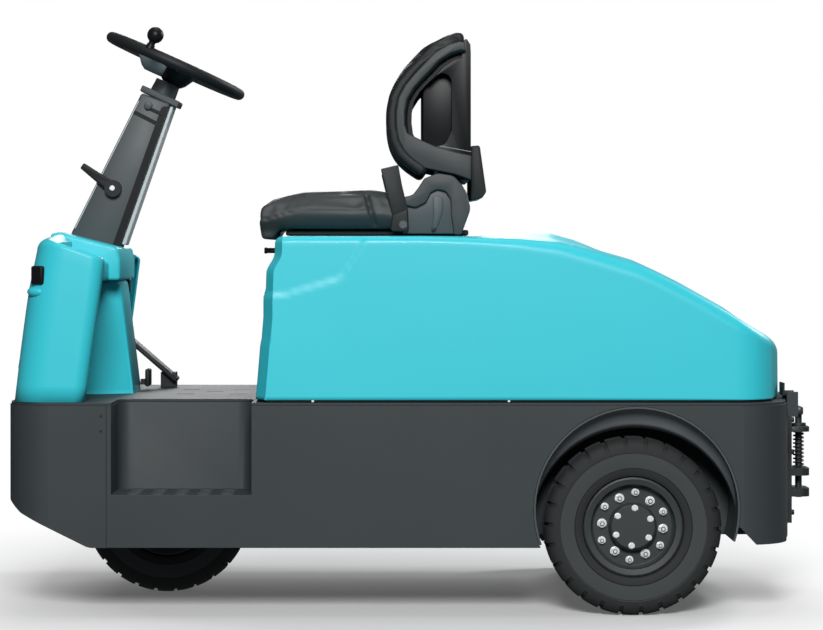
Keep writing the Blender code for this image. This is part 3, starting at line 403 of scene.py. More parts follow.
# %% Helpers for joining and mirroring
def gather(*shapes):
    """Puts several shapes into one mesh."""
    whole = bmesh.new()
    for shape in shapes:
        mesh = bpy.data.meshes.new("part")
        shape.to_mesh(mesh)
        shape.free()
        whole.from_mesh(mesh)
        bpy.data.meshes.remove(mesh)
    return whole


def flipped(bm):
    """The same shape on the other side of the tractor."""
    bmesh.ops.scale(bm, vec=(1, -1, 1), verts=bm.verts)
    bmesh.ops.reverse_faces(bm, faces=bm.faces)
    return bm


def both(name, bm, material, body, stands_for=(), smooth=35.0):
    """Makes a shape's piece on the left and its mirror image's on the right."""
    for side, shape in (("left", bm), ("right", flipped(bm.copy()))):
        nodes = tuple(node + "_" + side for node in stands_for)
        piece(name + "_" + side, shape, material, body, nodes, smooth)


def ramp(table, x):
    """Reads a falling table of (x, value) in straight lines."""
    if x >= table[0][0]:
        return table[0][1]
    for (x0, v0), (x1, v1) in zip(table, table[1:]):
        if x >= x1:
            return v0 + (v1 - v0) * (x - x0) / (x1 - x0)
    return table[-1][1]


def ease(value):
    """Runs from 0 to 1 with soft ends."""
    value = min(1.0, max(0.0, value))
    return value * value * (3 - 2 * value)


print("joining helpers ready")

# %% [markdown]
# ## Chassis plates
# The skirt, nose and rear are thick folded plate, so they keep their CAD shape with edges rounded
# by about two millimetres. The deck is thinner plate and gets a smaller radius. The rails' rear ends
# are raised, so that only a little of them shows behind the rear wheels.

# %% Chassis plates
for node in ("frame_nose", "frame_side_left", "frame_side_right", "frame_rear"):
    refined(node, "chassis_paint", 0.0022)
refined("deck_plate", "chassis_paint", 0.0012)
refined("battery_tray", "chassis_paint", 0.0012)
for node in ("frame_rail_left", "frame_rail_right"):
    rail = welded_copy(node)
    for vertex in rail.verts:
        if vertex.co.x < -0.6 and vertex.co.z < 0.3:
            vertex.co.z = max(vertex.co.z, 0.172)
    piece(node + "_fine", rail, "chassis_paint", bodies[node], (node,), 32.0, 0.0012)
for node in ("arch_liner_left", "arch_liner_right"):
    refined(node, "liner_plastic", 0.001)
refined("drive_axle", "dark_steel", 0.002)
refined("steer_fork", "chassis_paint", 0.0015)
print("chassis pieces 11")

# %% [markdown]
# ## Column, leg shield and lamps
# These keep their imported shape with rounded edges, so the light runs along them. The leg shield is
# narrowed towards its rear, and the headlamps are made lower and set back into the cowl.

# %% Column, leg shield and lamps
shield = welded_copy("leg_shield")
for vertex in shield.verts:
    vertex.co.y *= 1 - 0.42 * min(1.0, max(0.0, (0.915 - vertex.co.x) / 0.17))
piece("leg_shield_fine", shield, "teal_paint", "chassis", ("leg_shield",), 40, 0.003, 3)
refined("column_housing", "column_paint", 0.0015)
for node, bevel in (("column_lever", 0.0012), ("accelerator_pedal", 0.001), ("brake_pedal", 0.001)):
    refined(node, "dark_plastic", bevel)
for node in ("headlamp_left", "headlamp_right"):
    lamp = welded_copy(node)
    for vertex in lamp.verts:
        vertex.co.x -= 0.011
        vertex.co.z = 0.578 + 0.58 * (vertex.co.z - 0.578)
    piece(node + "_fine", lamp, "lamp_white", "chassis", (node,), 32.0, 0.001)
print("column, shield and lamp pieces 7")

# %% [markdown]
# ## Tyres
# A tyre is a turned section with a tread cut into it. The section is spun round the axle in
# twenty-six pitches of nine steps, and in each pitch two steps of the shoulder are pushed in, which
# leaves the lateral groove that nicks the tyre's outline.

# %% Tyres
def tyre(node):
    centre = (low[node] + high[node]) / 2
    half = (high[node].y - low[node].y) / 2
    radius = (high[node].z - low[node].z) / 2
    bead = 0.0322 if node == "front_tyre" else 0.0362
    side = [
        (0.1023, 0.0), (0.1023, bead), (0.1166, bead), (0.1168, half - 0.0105), (0.119, half - 0.006),
        (0.126, half - 0.0028), (0.135, half - 0.0022), (0.1362, half - 0.0034), (0.1376, half - 0.0016),
        (0.154, half - 0.0002), (0.17, half - 0.0002), (0.1716, half - 0.002), (0.1732, half - 0.0006),
        (0.185, half - 0.0014), (0.195, half - 0.0055), (0.201, half - 0.011), (0.2045, half - 0.017),
        (radius - 0.0006, half - 0.024), (radius, half - 0.03), (radius - 0.005, half - 0.031),
        (radius - 0.005, half - 0.037), (radius, half - 0.038), (radius, 0.005), (radius - 0.005, 0.004),
        (radius - 0.005, 0.0),
    ]
    section = side + [(r, -y) for r, y in reversed(side[:-1])]
    pitches, steps = 26, 9
    profile = open_line([centre + Vector((reach, along, 0)) for reach, along in section])
    bm = spun(profile, (0, 1, 0), pitches * steps, centre)
    grooves = []
    for face in bm.faces:
        spot = face.calc_center_median() - centre
        angle = math.atan2(spot.z, spot.x) % (2 * math.pi)
        step = int(angle / (2 * math.pi) * pitches * steps)
        reach = math.hypot(spot.x, spot.z)
        across = abs(spot.y)
        shoulder = reach > 0.186 and across > half - 0.0312
        rib = reach > radius - 0.0049 and 0.0042 < across < half - 0.0372
        if step % steps < 2 and (shoulder or rib):
            grooves.append(face)
    pushed = bmesh.ops.extrude_face_region(bm, geom=grooves)
    bmesh.ops.delete(bm, geom=grooves, context="FACES")
    for vertex in (item for item in pushed["geom"] if isinstance(item, bmesh.types.BMVert)):
        spot = vertex.co - centre
        spot.y = 0
        vertex.co -= spot.normalized() * 0.0062
    made = piece(node + "_treaded", bm, "tyre_rubber", bodies[node], (node,), 28)
    made.data.materials.append(finishes["sidewall_rubber"])
    for face in made.data.polygons:
        spot = face.center - centre
        reach = math.hypot(spot.x, spot.z)
        if 0.137 < reach < 0.1725 and abs(spot.y) > 0.04:
            face.material_index = 1
    return made


for node in ("front_tyre", "rear_tyre_left", "rear_tyre_right"):
    made = tyre(node)
    print(made.name, "faces", len(made.data.polygons))

# %% [markdown]
# ## Rims
# The rims keep their turned shape. What makes them read as wheels is the ring of plated nuts on
# the disc and the six bolts of the hub cover, so those are real hexagons.

# %% Rims and nuts
refined("front_rim", "rim_paint", 0.0008, 30)
for side, sign in (("left", 1.0), ("right", -1.0)):
    node = "rear_rim_" + side
    refined(node, "rim_paint", 0.0008, 30)
    outward = Vector((0, sign, 0))
    axle = (low[node] + high[node]) / 2
    axle.y = sign * 0.4245
    nuts, studs = bmesh.new(), bmesh.new()
    for count in range(12):
        reach, size = (0.0715, 0.018) if count % 2 else (0.079, 0.0148)
        angle = math.radians(95 + 30 * count)
        spot = axle + Vector((reach * math.cos(angle), sign * 0.0229, reach * math.sin(angle)))
        add_bolt(nuts, spot, outward, size, 0.0095)
        end = spot + outward * 0.0093
        add_rod(studs, end, end + outward * 0.003, size * 0.3, sides=14)
        add_rod(nuts, end, end + outward * 0.0036, size * 0.2, sides=14)
    for count in range(6):
        angle = math.radians(95 + 60 * count)
        spot = axle + Vector((0.044 * math.cos(angle), sign * 0.0457, 0.044 * math.sin(angle)))
        add_bolt(nuts, spot, outward, 0.0122, 0.0045)
    piece("wheel_nuts_" + side, nuts, "bright_steel", bodies[node], smooth=30)
    piece("wheel_studs_" + side, studs, "dark_steel", bodies[node], smooth=30)
print("nuts on each rear wheel", 12 + 6)

# %% [markdown]
# ## Steering wheel
# The rim is a torus with three flat spokes. It is built flat at the origin and then carried to the
# column's top by one matrix, which is easier than building it at a slant.

# %% Steering wheel
lean = math.radians(24.1)
up = Vector((-math.sin(lean), 0, math.cos(lean)))
forward = Vector((math.cos(lean), 0, math.sin(lean)))
wheel_centre = Vector((0.613, 0, 1.312))
wheel_frame = Matrix((forward, Vector((0, 1, 0)), up)).transposed().to_4x4()
wheel_frame.translation = wheel_centre


def in_wheel(bm):
    bmesh.ops.transform(bm, matrix=wheel_frame, verts=bm.verts)
    return bm


grip_reach = 0.1735
rim = bmesh.new()
circle = bmesh.ops.create_circle(rim, cap_ends=False, segments=20, radius=0.0138)["verts"]
bmesh.ops.rotate(rim, verts=circle, cent=(0, 0, 0), matrix=Matrix.Rotation(math.radians(90), 3, "X"))
bmesh.ops.translate(rim, verts=circle, vec=(grip_reach, 0, 0))
spun(rim, (0, 0, 1), 96)
for angle in (90.0, 210.0, 330.0):
    spoke = box((0.046, 0.166), (-0.015, 0.015), (-0.0125, -0.0045))
    turn = Matrix.Rotation(math.radians(angle), 3, "Z")
    bmesh.ops.rotate(spoke, verts=spoke.verts, cent=(0, 0, 0), matrix=turn)
    rim = gather(rim, spoke)
in_wheel(rim)
piece("steering_rim", rim, "dark_plastic", "steering_wheel", ("steering_wheel",), 40)

print("steering rim made")

# %% [markdown]
# ### Hub, cover and knob
# The black hub dish and the grey cover beside it share one turned section at two sizes. The knob is
# a ball on a short waisted post.

# %% Steering hub and knob
cup_profile = [
    (0.0, -0.045), (0.027, -0.045), (0.03, -0.043), (0.039, -0.036), (0.055, -0.014), (0.058, -0.006),
    (0.056, -0.003), (0.05, -0.001), (0.03, 0.001), (0.0, 0.0014),
]


def cup(shift, width, depth):
    bm = spun(open_line([(radius, 0, z) for radius, z in cup_profile]), (0, 0, 1), 48)
    bmesh.ops.scale(bm, vec=(width, width, depth), verts=bm.verts)
    bmesh.ops.translate(bm, vec=(shift, 0, 0), verts=bm.verts)
    return in_wheel(bm)


piece("steering_hub", cup(-0.01, 0.86, 1.05), "gloss_plastic_black", "steering_wheel", (), 30)
piece("steering_cover", cup(0.044, 0.92, 0.86), "dish_grey", "steering_wheel", (), 30)

knob_angle = math.radians(70)
knob = bmesh.new()
knob_foot = Vector((grip_reach * math.cos(knob_angle), grip_reach * math.sin(knob_angle), 0))
add_rod(knob, knob_foot + Vector((0, 0, 0.008)), knob_foot + Vector((0, 0, 0.02)), 0.0125, 0.0095)
add_rod(knob, knob_foot + Vector((0, 0, 0.016)), knob_foot + Vector((0, 0, 0.032)), 0.0075, 0.0095)
knob_place = Matrix.Translation(knob_foot + Vector((0, 0, 0.044)))
bmesh.ops.create_uvsphere(knob, u_segments=28, v_segments=16, radius=0.0203, matrix=knob_place)
piece("steering_knob", in_wheel(knob), "gloss_plastic_black", "steering_wheel", (), 40)
print("steering hub, cover and knob made")

# %% [markdown]
# ## Cowl
# The cowl is a bent shell, open at the rear. Its outline is extruded upwards ring by ring, rolled
# over at the top edge, and at the nose carried inward to form the crown in front of the console.
# The console and its lower side shelves are one moulding and stand clear of the side panels.

# %% Cowl outline
cowl_base = high["deck_plate"].z + 0.0004
cowl_fronts = [(1.0, 0.906), (0.93, 0.911), (0.75, 0.924), (0.6, 0.9315), (0.36, 0.9425), (0.0, 0.957)]
cowl_rears = [(1.0, 0.744), (0.75, 0.7545), (0.33, 0.7733), (0.0, 0.788)]
cowl_halves = [(1.0, 0.477), (0.75, 0.48), (0.33, 0.484), (0.0, 0.487)]
cowl_heights = [(0.93, 0.873), (0.9, 0.8765), (0.87, 0.874), (0.839, 0.8655), (0.798, 0.8505),
                (0.757, 0.8372), (0.744, 0.833)]


def cowl_rim(x, y):
    """Height of the cowl's top surface at a place."""
    return ramp(cowl_heights, x) + 0.018 * ease((x - 0.84) / 0.04) * (1 - (y / 0.47) ** 2)


def cowl_plan(share):
    """Half of the outline at a share of the height, from the rear edge to the nose, with normals."""
    front, rear, half = ramp(cowl_fronts, share), ramp(cowl_rears, share), ramp(cowl_halves, share)
    points = [(rear, half - 0.045 + 0.003 * step, -1.0, 0.0) for step in range(6)]
    for step in range(1, 9):
        turn = math.radians(90 * step / 8)
        points.append((rear + 0.03 - 0.03 * math.cos(turn), half - 0.03 + 0.03 * math.sin(turn),
                       -math.cos(turn), math.sin(turn)))
    side_rear, side_front = rear + 0.03, front - 0.075
    points += [(side_rear + (side_front - side_rear) * step / 14, half, 0.0, 1.0) for step in range(1, 15)]
    for step in range(1, 11):
        turn = math.radians(90 * step / 10)
        points.append((side_front + 0.075 * math.sin(turn), half - 0.075 + 0.075 * math.cos(turn),
                       math.sin(turn), math.cos(turn)))
    points += [(front, (half - 0.075) * (1 - step / 12), 1.0, 0.0) for step in range(1, 13)]
    return points


def cowl_ring(level):
    """0 to 1 climbs the wall, 1 to 2 rolls over the edge, 2 to 3 runs inward and 3 to 4 drops."""
    ring = []
    for (x, y, nx, ny), (top_x, top_y, _, _) in zip(cowl_plan(min(level, 1.0)), cowl_plan(1.0)):
        bend = 0.01 + 0.022 * max(0.0, nx) ** 2
        inner = ease((top_x - 0.822) / 0.035)
        if level <= 1:
            top = cowl_rim(top_x, top_y) - bend
            ring.append((x, y, cowl_base + level * (top - cowl_base)))
            continue
        turn = math.radians(90 * min(1.0, level - 1))
        pull = bend * (1 - math.cos(turn))
        px, py = x - nx * pull, y - ny * pull
        z = cowl_rim(px, py) - bend * (1 - math.sin(turn))
        if level > 2:
            run = min(1.0, level - 2)
            px += inner * run * (0.85 - px) - (1 - inner) * nx * 0.012 * run
            py -= inner * run * 0.12 * py + (1 - inner) * ny * 0.012 * run
            z = cowl_rim(px, py) - (1 - inner) * 0.03 * run**1.6 - 0.028 * inner * max(0.0, level - 3)
        ring.append((px, py, z))
    return ring


cowl_levels = [0.0, 0.11, 0.22, 0.33, 0.47, 0.61, 0.75, 0.84, 0.93, 1.0]
cowl_levels += [1 + step / 6 for step in range(1, 7)] + [2 + step / 6 for step in range(1, 7)] + [4.0]
print("cowl rings", len(cowl_levels))

# %% [markdown]
# ### Cowl skin
# The rings become a skin by extruding a row of edges once for each ring and moving the new row to
# its place. One helper does it for an open row, as here, and for a closed loop, as on the bonnet.

# %% Cowl skin
def grown_rings(rings, closed=False):
    """Extrudes a row of edges, or a closed loop of them, through a list of rings."""
    bm = open_line(rings[0])
    bm.verts.ensure_lookup_table()
    row = bm.verts[:]
    if closed:
        bm.edges.new((row[-1], row[0]))
    edges = bm.edges[:]
    for ring in rings[1:]:
        grown = bmesh.ops.extrude_edge_only(bm, edges=edges)["geom"]
        edges = [item for item in grown if isinstance(item, bmesh.types.BMEdge)]
        new = {item for item in grown if isinstance(item, bmesh.types.BMVert)}
        row = [next(e.other_vert(v) for e in v.link_edges if e.other_vert(v) in new) for v in row]
        for vertex, spot in zip(row, ring):
            vertex.co = spot
    bmesh.ops.recalc_face_normals(bm, faces=bm.faces)
    return bm


def across(half_ring):
    return half_ring + [(x, -y, z) for x, y, z in reversed(half_ring[:-1])]


cowl = grown_rings([across(cowl_ring(level)) for level in cowl_levels])
front_face = max(cowl.faces, key=lambda face: face.calc_center_median().x)
if front_face.normal.x < 0:
    bmesh.ops.reverse_faces(cowl, faces=cowl.faces)
cowl_skin = piece("cowl_skin", cowl, "teal_paint", "chassis", ("cowl_shell",), 50)
walled(cowl_skin, 0.005)
print("cowl faces", len(cowl_skin.data.polygons))

# %% [markdown]
# ### Console
# The console is a block with a sloping top that carries the column, and a thinner shelf runs out of
# it to both sides. Both are flat side outlines pushed across the tractor, with eased edges.

# %% Console
console_corners = [(0.7335, 0.7775, 0.0), (0.7335, 0.83, 0.0), (0.74, 0.858, 0.012), (0.884, 0.895, 0.0),
                   (0.903, 0.89, 0.008), (0.903, 0.7775, 0.0)]
console = eased(plate(console_corners, -0.186, 0.186), 0.011, 4, 40)
shelf_corners = [(0.761, 0.7775, 0.0), (0.761, 0.823, 0.0), (0.903, 0.854, 0.0), (0.903, 0.7775, 0.0)]
shelf = eased(plate(shelf_corners, -0.43, 0.43), 0.008, 3, 40)
piece("console", gather(console, shelf), "teal_paint", "chassis", ("cowl_dash",), 40)
switch = eased(box((0.744, 0.76), (-0.19, -0.158), (0.742, 0.7765)), 0.002, 2)
piece("console_switch", switch, "gloss_plastic_black", "chassis")


brow = bmesh.new()
brow_place = Matrix.Translation((0.904, 0.455, 0.754)) @ Matrix.Rotation(math.radians(-40), 4, "Z")
bmesh.ops.create_uvsphere(brow, u_segments=28, v_segments=16, radius=1.0,
                          matrix=brow_place @ Matrix.Diagonal((0.024, 0.012, 0.012, 1)))
both("lamp_brow", brow, "teal_paint", "chassis", (), 60)
print("console pieces 4")

# %% [markdown]
# ## Column details
# The casing has a black strip along its rear edges, a bright trim line along the front ones, a grey
# cover down its rear and a small control recess at the top of its left side.

# %% Column details
def column_rear(z):
    return 0.7513 - (z - 0.8488) * 0.3535


def column_front(z):
    return 0.6936 + (1.242 - z) * 0.5011


def strip(edge, heights, offsets, radius=0.0):
    """A narrow upright strip that follows one of the column's leaning edges."""
    (low_z, high_z), (near, far) = heights, offsets
    return [(edge(low_z) + near, low_z, 0.0), (edge(low_z) + far, low_z, 0.0),
            (edge(high_z) + far, high_z, radius), (edge(high_z) + near, high_z, 0.0)]


band = plate(strip(column_rear, (0.85, 1.208), (0.0005, 0.019), 0.01), 0.054, 0.0562)
trim = plate(strip(column_front, (0.905, 1.222), (-0.005, -0.0028)), 0.054, 0.056)
both("column_band", band, "gloss_plastic_black", "chassis")
both("column_trim", trim, "grey_plastic", "chassis")
cover_corners = [(column_rear(z) - lift * 0.943, z - lift * 0.333, 0.0)
                 for z, lift in ((0.866, 0.0005), (1.22, 0.0005), (1.22, 0.009), (0.866, 0.011))]
cover = eased(plate(cover_corners, -0.04, 0.04), 0.003, 3)
piece("column_rear_cover", cover, "grey_plastic", "chassis", ("column_cover",))
ledge_corners = [(0.7105, 1.199, 0.0), (0.7135, 1.19, 0.0), (0.645, 1.1545, 0.003), (0.644, 1.165, 0.003)]
arm_corners = [(0.67, 1.206, 0.002), (0.673, 1.199, 0.002), (0.64, 1.184, 0.002), (0.637, 1.191, 0.002)]
recess = gather(plate(ledge_corners, 0.0545, 0.0568), plate(arm_corners, 0.0545, 0.059))
piece("column_recess", recess, "gloss_plastic_black", "chassis")
key_knob = bmesh.new()
add_rod(key_knob, (0.6765, 0.054, 1.21), (0.6765, 0.064, 1.21), 0.0108, 0.01, 28)
piece("column_knob", eased(key_knob, 0.0012, 2), "column_paint", "chassis")
pivot_bolt = bmesh.new()
add_bolt(pivot_bolt, (0.7645, 0.073, 1.0045), (0, 1, 0), 0.0105, 0.0035)
piece("lever_bolt", pivot_bolt, "bright_steel", "chassis")
print("column pieces 9")

# %% [markdown]
# ## Wheel-arch flares
# Inside each arch opening a shallow dished ring leads from the skirt in to the liner. It is a strip
# of rings swept round the arch, each one a little smaller and deeper, and it catches some of the side
# light; its grey, lighter than the liner's, is painted light that stands for the rest.

# %% Wheel-arch flares
def arch_flare():
    rings = []
    for step in range(7):
        share = step / 6
        ring = []
        for turn in range(49):
            angle = math.radians(-14 + 208 * turn / 48)
            lift = max(0.0, math.sin(angle))
            radius = 0.2392 - (0.004 + 0.048 * lift) * share**1.5
            x, z = -0.497 + radius * math.cos(angle), 0.248 + radius * math.sin(angle)
            ring.append((x, 0.479 - 0.052 * share, z))
        rings.append(ring)
    return grown_rings(rings)


for side, flare in (("left", arch_flare()), ("right", flipped(arch_flare()))):
    made = piece("arch_flare_" + side, flare, "flare_grey_painted_light", "chassis", (), 50)
    walled(made, 0.0015, 0.0)
print("flares 2")

# %% [markdown]
# ## Bonnet
# The bonnet is one big rotational moulding: a tall box with a round rear, a low hump behind the
# seat, a shallow set-back panel round its upper front corners and a rolled edge. It is made the way
# a hull is: one closed loop of edges at the bottom is extruded upwards ring after ring, and each
# ring is moved to the skin's shape. A Solidify modifier then gives the wall.

# %% Bonnet skin
deck = high["deck_plate"].z
bonnet_base = deck + 0.006
bonnet_top = 0.886
centre_line = [
    (0.36, 0.8845), (0.3, 0.8862), (-0.225, 0.8862), (-0.32, 0.88), (-0.405, 0.8605), (-0.509, 0.831),
    (-0.56, 0.808), (-0.613, 0.782), (-0.716, 0.724), (-0.818, 0.65), (-0.9, 0.575),
]
hump_line = [(-0.218, 0.0), (-0.24, 0.0085), (-0.256, 0.012), (-0.302, 0.0125), (-0.37, 0.0095), (-0.43, 0.0)]
panel_edge = [(0.3335, 0.7424), (0.3173, 0.75), (0.2465, 0.7702), (0.211, 0.7795), (0.1955, 0.7923),
              (0.1827, 0.8375), (0.164, 0.87), (0.15, 0.93)]
rear_bow = 0.35


def bonnet_height(x, y):
    crown = 0.003 + 0.017 * min(1.0, max(0.0, -x / 0.6))
    across = ease((0.27 - abs(y)) / 0.11)
    return ramp(centre_line, x) + ramp(hump_line, x) * across - crown * (y / 0.49) ** 2


def bonnet_outline():
    """Half of the bottom outline, with the outward direction at each point."""
    half, front, corner = 0.487, 0.39, 0.1
    points = [(front, 0.05 * step, 1.0, 0.0) for step in range(8)]
    points += [(front, y, 1.0, 0.0) for y in (0.37, 0.39, 0.405, 0.418, 0.428)]
    for step in range(9):
        share = step / 8
        x, y = front - 0.024 * share, half - 0.048 * (1 - share)
        points.append((x, y, 1.0 - 0.371 * share, 0.228 + 0.772 * share))
    points += [(x, half, 0.0, 1.0) for x in (0.3645, 0.36, 0.355, 0.349, 0.343, 0.336)]
    points += [(0.335 - 0.006 * step, half, 0.0, 1.0) for step in range(1, 33)]
    x = 0.135
    while x > -0.69:
        points.append((x, half, 0.0, 1.0))
        x -= 0.0183
    corner_y = half - corner
    corner_x = -0.88 + rear_bow * corner_y**2 + corner
    for step in range(15):
        turn = math.radians(90 * step / 14)
        points.append((corner_x - corner * math.sin(turn), corner_y + corner * math.cos(turn),
                       -math.sin(turn), math.cos(turn)))
    for step in range(1, 13):
        y = corner_y * (1 - step / 12)
        points.append((-0.88 + rear_bow * y**2, y, -1.0, 0.0))
    return points


def panel_depth(x, y, z, nx):
    """How far the upper front panel is set back."""
    if x < 0.15:
        return 0.0
    if nx < 0.05:
        return 0.0026 * ease((z - ramp(panel_edge, x)) / 0.009)
    edge = 0.7424 + (0.819 - 0.7424) * (1 - min(1.0, abs(y) / 0.44))
    lower = 0.632 - (0.632 - 0.6053) * (1 - min(1.0, abs(y) / 0.44))
    deep = 0.0026 + 0.0022 * nx
    return deep * ease((z - edge) / 0.009) + 0.002 * nx * ease((z - lower) / 0.008)


print("bonnet outline points", len(bonnet_outline()))

# %% [markdown]
# ### One ring of the bonnet
# A ring is the bottom outline carried to a level of the skin. The wall leans inward towards the
# front, the edge is a quarter turn, and the top follows the middle line's height.

# %% One ring of the bonnet
def skin_ring(outline, level):
    """level 0 to 1 climbs the wall, 1 to 2 goes round the top edge and 2 to 3 closes the top."""
    ring = []
    for x, y, nx, ny in outline:
        bend = 0.016 + 0.018 * ease((-x - 0.05) / 0.4)
        forward_share = min(1.0, max(0.0, (x + 0.2) / 0.5))

        def leaned(z, pull):
            share = (z - bonnet_base) / (bonnet_top - bonnet_base)
            lean = 0.031 * min(share, 0.5) + 0.012 * max(0.0, share - 0.6)
            lean += 0.018 * ease((share - 0.77) / 0.12)
            px = x - lean * forward_share + 0.003 * share * (1 - forward_share)
            back = pull + panel_depth(x, y, z, nx)
            return px - nx * back, y * (1 - 0.018 * share) - ny * back

        roof = bonnet_height(x, y)
        for _ in range(2):
            roof = bonnet_height(*leaned(roof, bend))
        if level <= 1:
            z = bonnet_base + (roof - bend - bonnet_base) * level
            px, py = leaned(z, 0.0)
        else:
            turn = math.radians(90 * min(1.0, level - 1))
            pull = bend * (1 - math.cos(turn))
            z = roof - bend * (1 - math.sin(turn))
            px, py = leaned(z, pull)
            if level > 2:
                share = 3 - level
                px = -0.25 + (px + 0.25) * (0.5 + 0.5 * share)
                py *= share
                z = bonnet_height(px, py)
        ring.append((px, py, z))
    return ring


# %% [markdown]
# ### Bonnet rings
# Forty-five rings climb the wall, seven go round the top edge and the last twenty-two close the top
# over the middle line. The rings are close together because the set-back panel has a sharp edge.

# %% Bonnet rings
half_outline = bonnet_outline()
outline = half_outline + [(x, -y, nx, -ny) for x, y, nx, ny in reversed(half_outline[1:-1])]
levels = [step / 44 for step in range(45)] + [1 + step / 7 for step in range(1, 8)]
levels += [2 + step / 22 for step in range(1, 23)]
skin = grown_rings([skin_ring(outline, level) for level in levels], closed=True)
bmesh.ops.remove_doubles(skin, verts=skin.verts, dist=2e-5)
bmesh.ops.dissolve_degenerate(skin, dist=1e-6, edges=skin.edges)
bmesh.ops.recalc_face_normals(skin, faces=skin.faces)
bonnet = piece("bonnet_skin", skin, "teal_paint", "bonnet", ("bonnet_shell",), 50)
walled(bonnet, 0.005)
print("bonnet faces", len(bonnet.data.polygons))

# %% [markdown]
# ## Bonnet gap strip, hinges and release
# A black strip fills the gap between the bonnet and the deck. Its outline is the bonnet's,
# a little smaller, so it shows as a dark line all round.

# %% Bonnet gap strip and fittings
gap_strip_plan = [(x - nx * 0.0035, y - ny * 0.0035) for x, y, nx, ny in outline]
gap_strip_ring = grown_rings([[(x, y, deck + z) for x, y in gap_strip_plan] for z in (0.0006, 0.0078)], closed=True)
gap_strip_piece = piece("bonnet_gap_strip", gap_strip_ring, "dark_plastic", "bonnet")
walled(gap_strip_piece, 0.006)
for side in ("left", "right"):
    refined("bonnet_hinge_" + side, "dark_plastic", 0.001)
lever = bmesh.new()
add_rod(lever, (0.34, 0.12, 0.85), (0.381, 0.12, 0.85), 0.0065)
add_rod(lever, (0.379, 0.12, 0.85), (0.385, 0.12, 0.85), 0.008, 0.007)
add_rod(lever, (0.34, 0.12, 0.85), (0.3555, 0.12, 0.85), 0.0105)
piece("bonnet_pull", lever, "dark_plastic", "bonnet", ("bonnet_release",), 40)
screws = bmesh.new()
for x in (0.2553, -0.2):
    for side in (-1, 1):
        add_rod(screws, (x, side * 0.48, deck + 0.004), (x, side * 0.4868, deck + 0.004), 0.003, sides=14)
piece("bonnet_screws", screws, "bright_steel", "bonnet")
print("bonnet fittings 5")

# %% [markdown]
# ## Seat cushions
# A cushion is foam in a vinyl cover. Each starts as a plain padded form, is remeshed fine and evenly,
# and is then blown up a little by the cloth solver, so that its faces crown and its edges stay held.
# Channels and seams are pressed in after that, because remeshing would wipe them out.

# %% Cushion helper
cover_cloth = {
    "quality": 4, "mass": 0.3, "tension_stiffness": 12, "compression_stiffness": 12, "bending_stiffness": 3,
    "use_pressure": True, "vertex_group_mass": "held", "pin_stiffness": 1.0,
}


def puffed(bm, name, voxel, pressure, cap, held):
    """Inflates a closed form with the cloth solver. held(point) is 0 where it stays, 1 where it may move."""
    mesh = bpy.data.meshes.new(name)
    bm.to_mesh(mesh)
    bm.free()
    body = bpy.data.objects.new(name, mesh)
    bpy.context.scene.collection.objects.link(body)
    remesh = body.modifiers.new("remesh", "REMESH")
    remesh.mode = "VOXEL"
    remesh.voxel_size = voxel
    bpy.context.view_layer.update()
    graph = bpy.context.evaluated_depsgraph_get()
    even = bpy.data.meshes.new_from_object(body.evaluated_get(graph))
    body.modifiers.clear()
    body.data = even
    start = [vertex.co.copy() for vertex in even.vertices]
    pins = body.vertex_groups.new(name="held")
    for index, spot in enumerate(start):
        pins.add([index], 1.0 - held(spot), "REPLACE")
    cloth = body.modifiers.new("cloth", "CLOTH")
    for setting, value in cover_cloth.items():
        setattr(cloth.settings, setting, value)
    cloth.settings.uniform_pressure_force = pressure
    cloth.settings.effector_weights.gravity = 0.0
    cloth.collision_settings.use_collision = False
    cloth.point_cache.frame_start = 1
    cloth.point_cache.frame_end = 20
    for frame_number in range(1, 21):
        bpy.context.scene.frame_set(frame_number)
    graph = bpy.context.evaluated_depsgraph_get()
    blown = bpy.data.meshes.new_from_object(body.evaluated_get(graph))
    body.modifiers.clear()
    body.data = blown
    bpy.context.scene.frame_set(1)
    for vertex, spot in zip(blown.vertices, start):
        move = vertex.co - spot
        most = cap * held(spot)
        if move.length > most:
            vertex.co = spot + move.normalized() * most
    out = bmesh.new()
    out.from_mesh(body.data)
    bpy.data.objects.remove(body, do_unlink=True)
    for _ in range(3):
        bmesh.ops.smooth_vert(
            out, verts=out.verts, factor=0.5, use_axis_x=True, use_axis_y=True, use_axis_z=True
        )
    return out


print("cushion inflation ready")

# %% [markdown]
# ### Sewn channels
# A seam or a channel is a shallow trough. Each is given as the distance to a line, and the mesh is
# pushed in along its normals by a bell-shaped depth round that line.

# %% Helper for sewn channels
def pressed(bm, lines):
    """Sinks sewn channels. Each line gives a distance function, its half width and its depth."""
    bm.normal_update()
    moves = []
    for vertex in bm.verts:
        sink = 0.0
        for distance, half, depth in lines:
            gap = distance(vertex.co, vertex.normal)
            if gap is not None and gap < half * 3:
                sink = max(sink, depth * math.exp(-((gap / half) ** 2)))
        moves.append((vertex, vertex.normal * -sink))
    for vertex, move in moves:
        vertex.co += move
    return bm


def finer(made):
    """One level of subdivision, the same in the viewport and the render."""
    smoother = made.modifiers.new("finer", "SUBSURF")
    smoother.levels = 1
    smoother.render_levels = 1


print("channel helper ready")


# %% [markdown]
# ## Seat cushion
# The base cushion has raised side bolsters, a waterfall front, and cross channels in the middle.

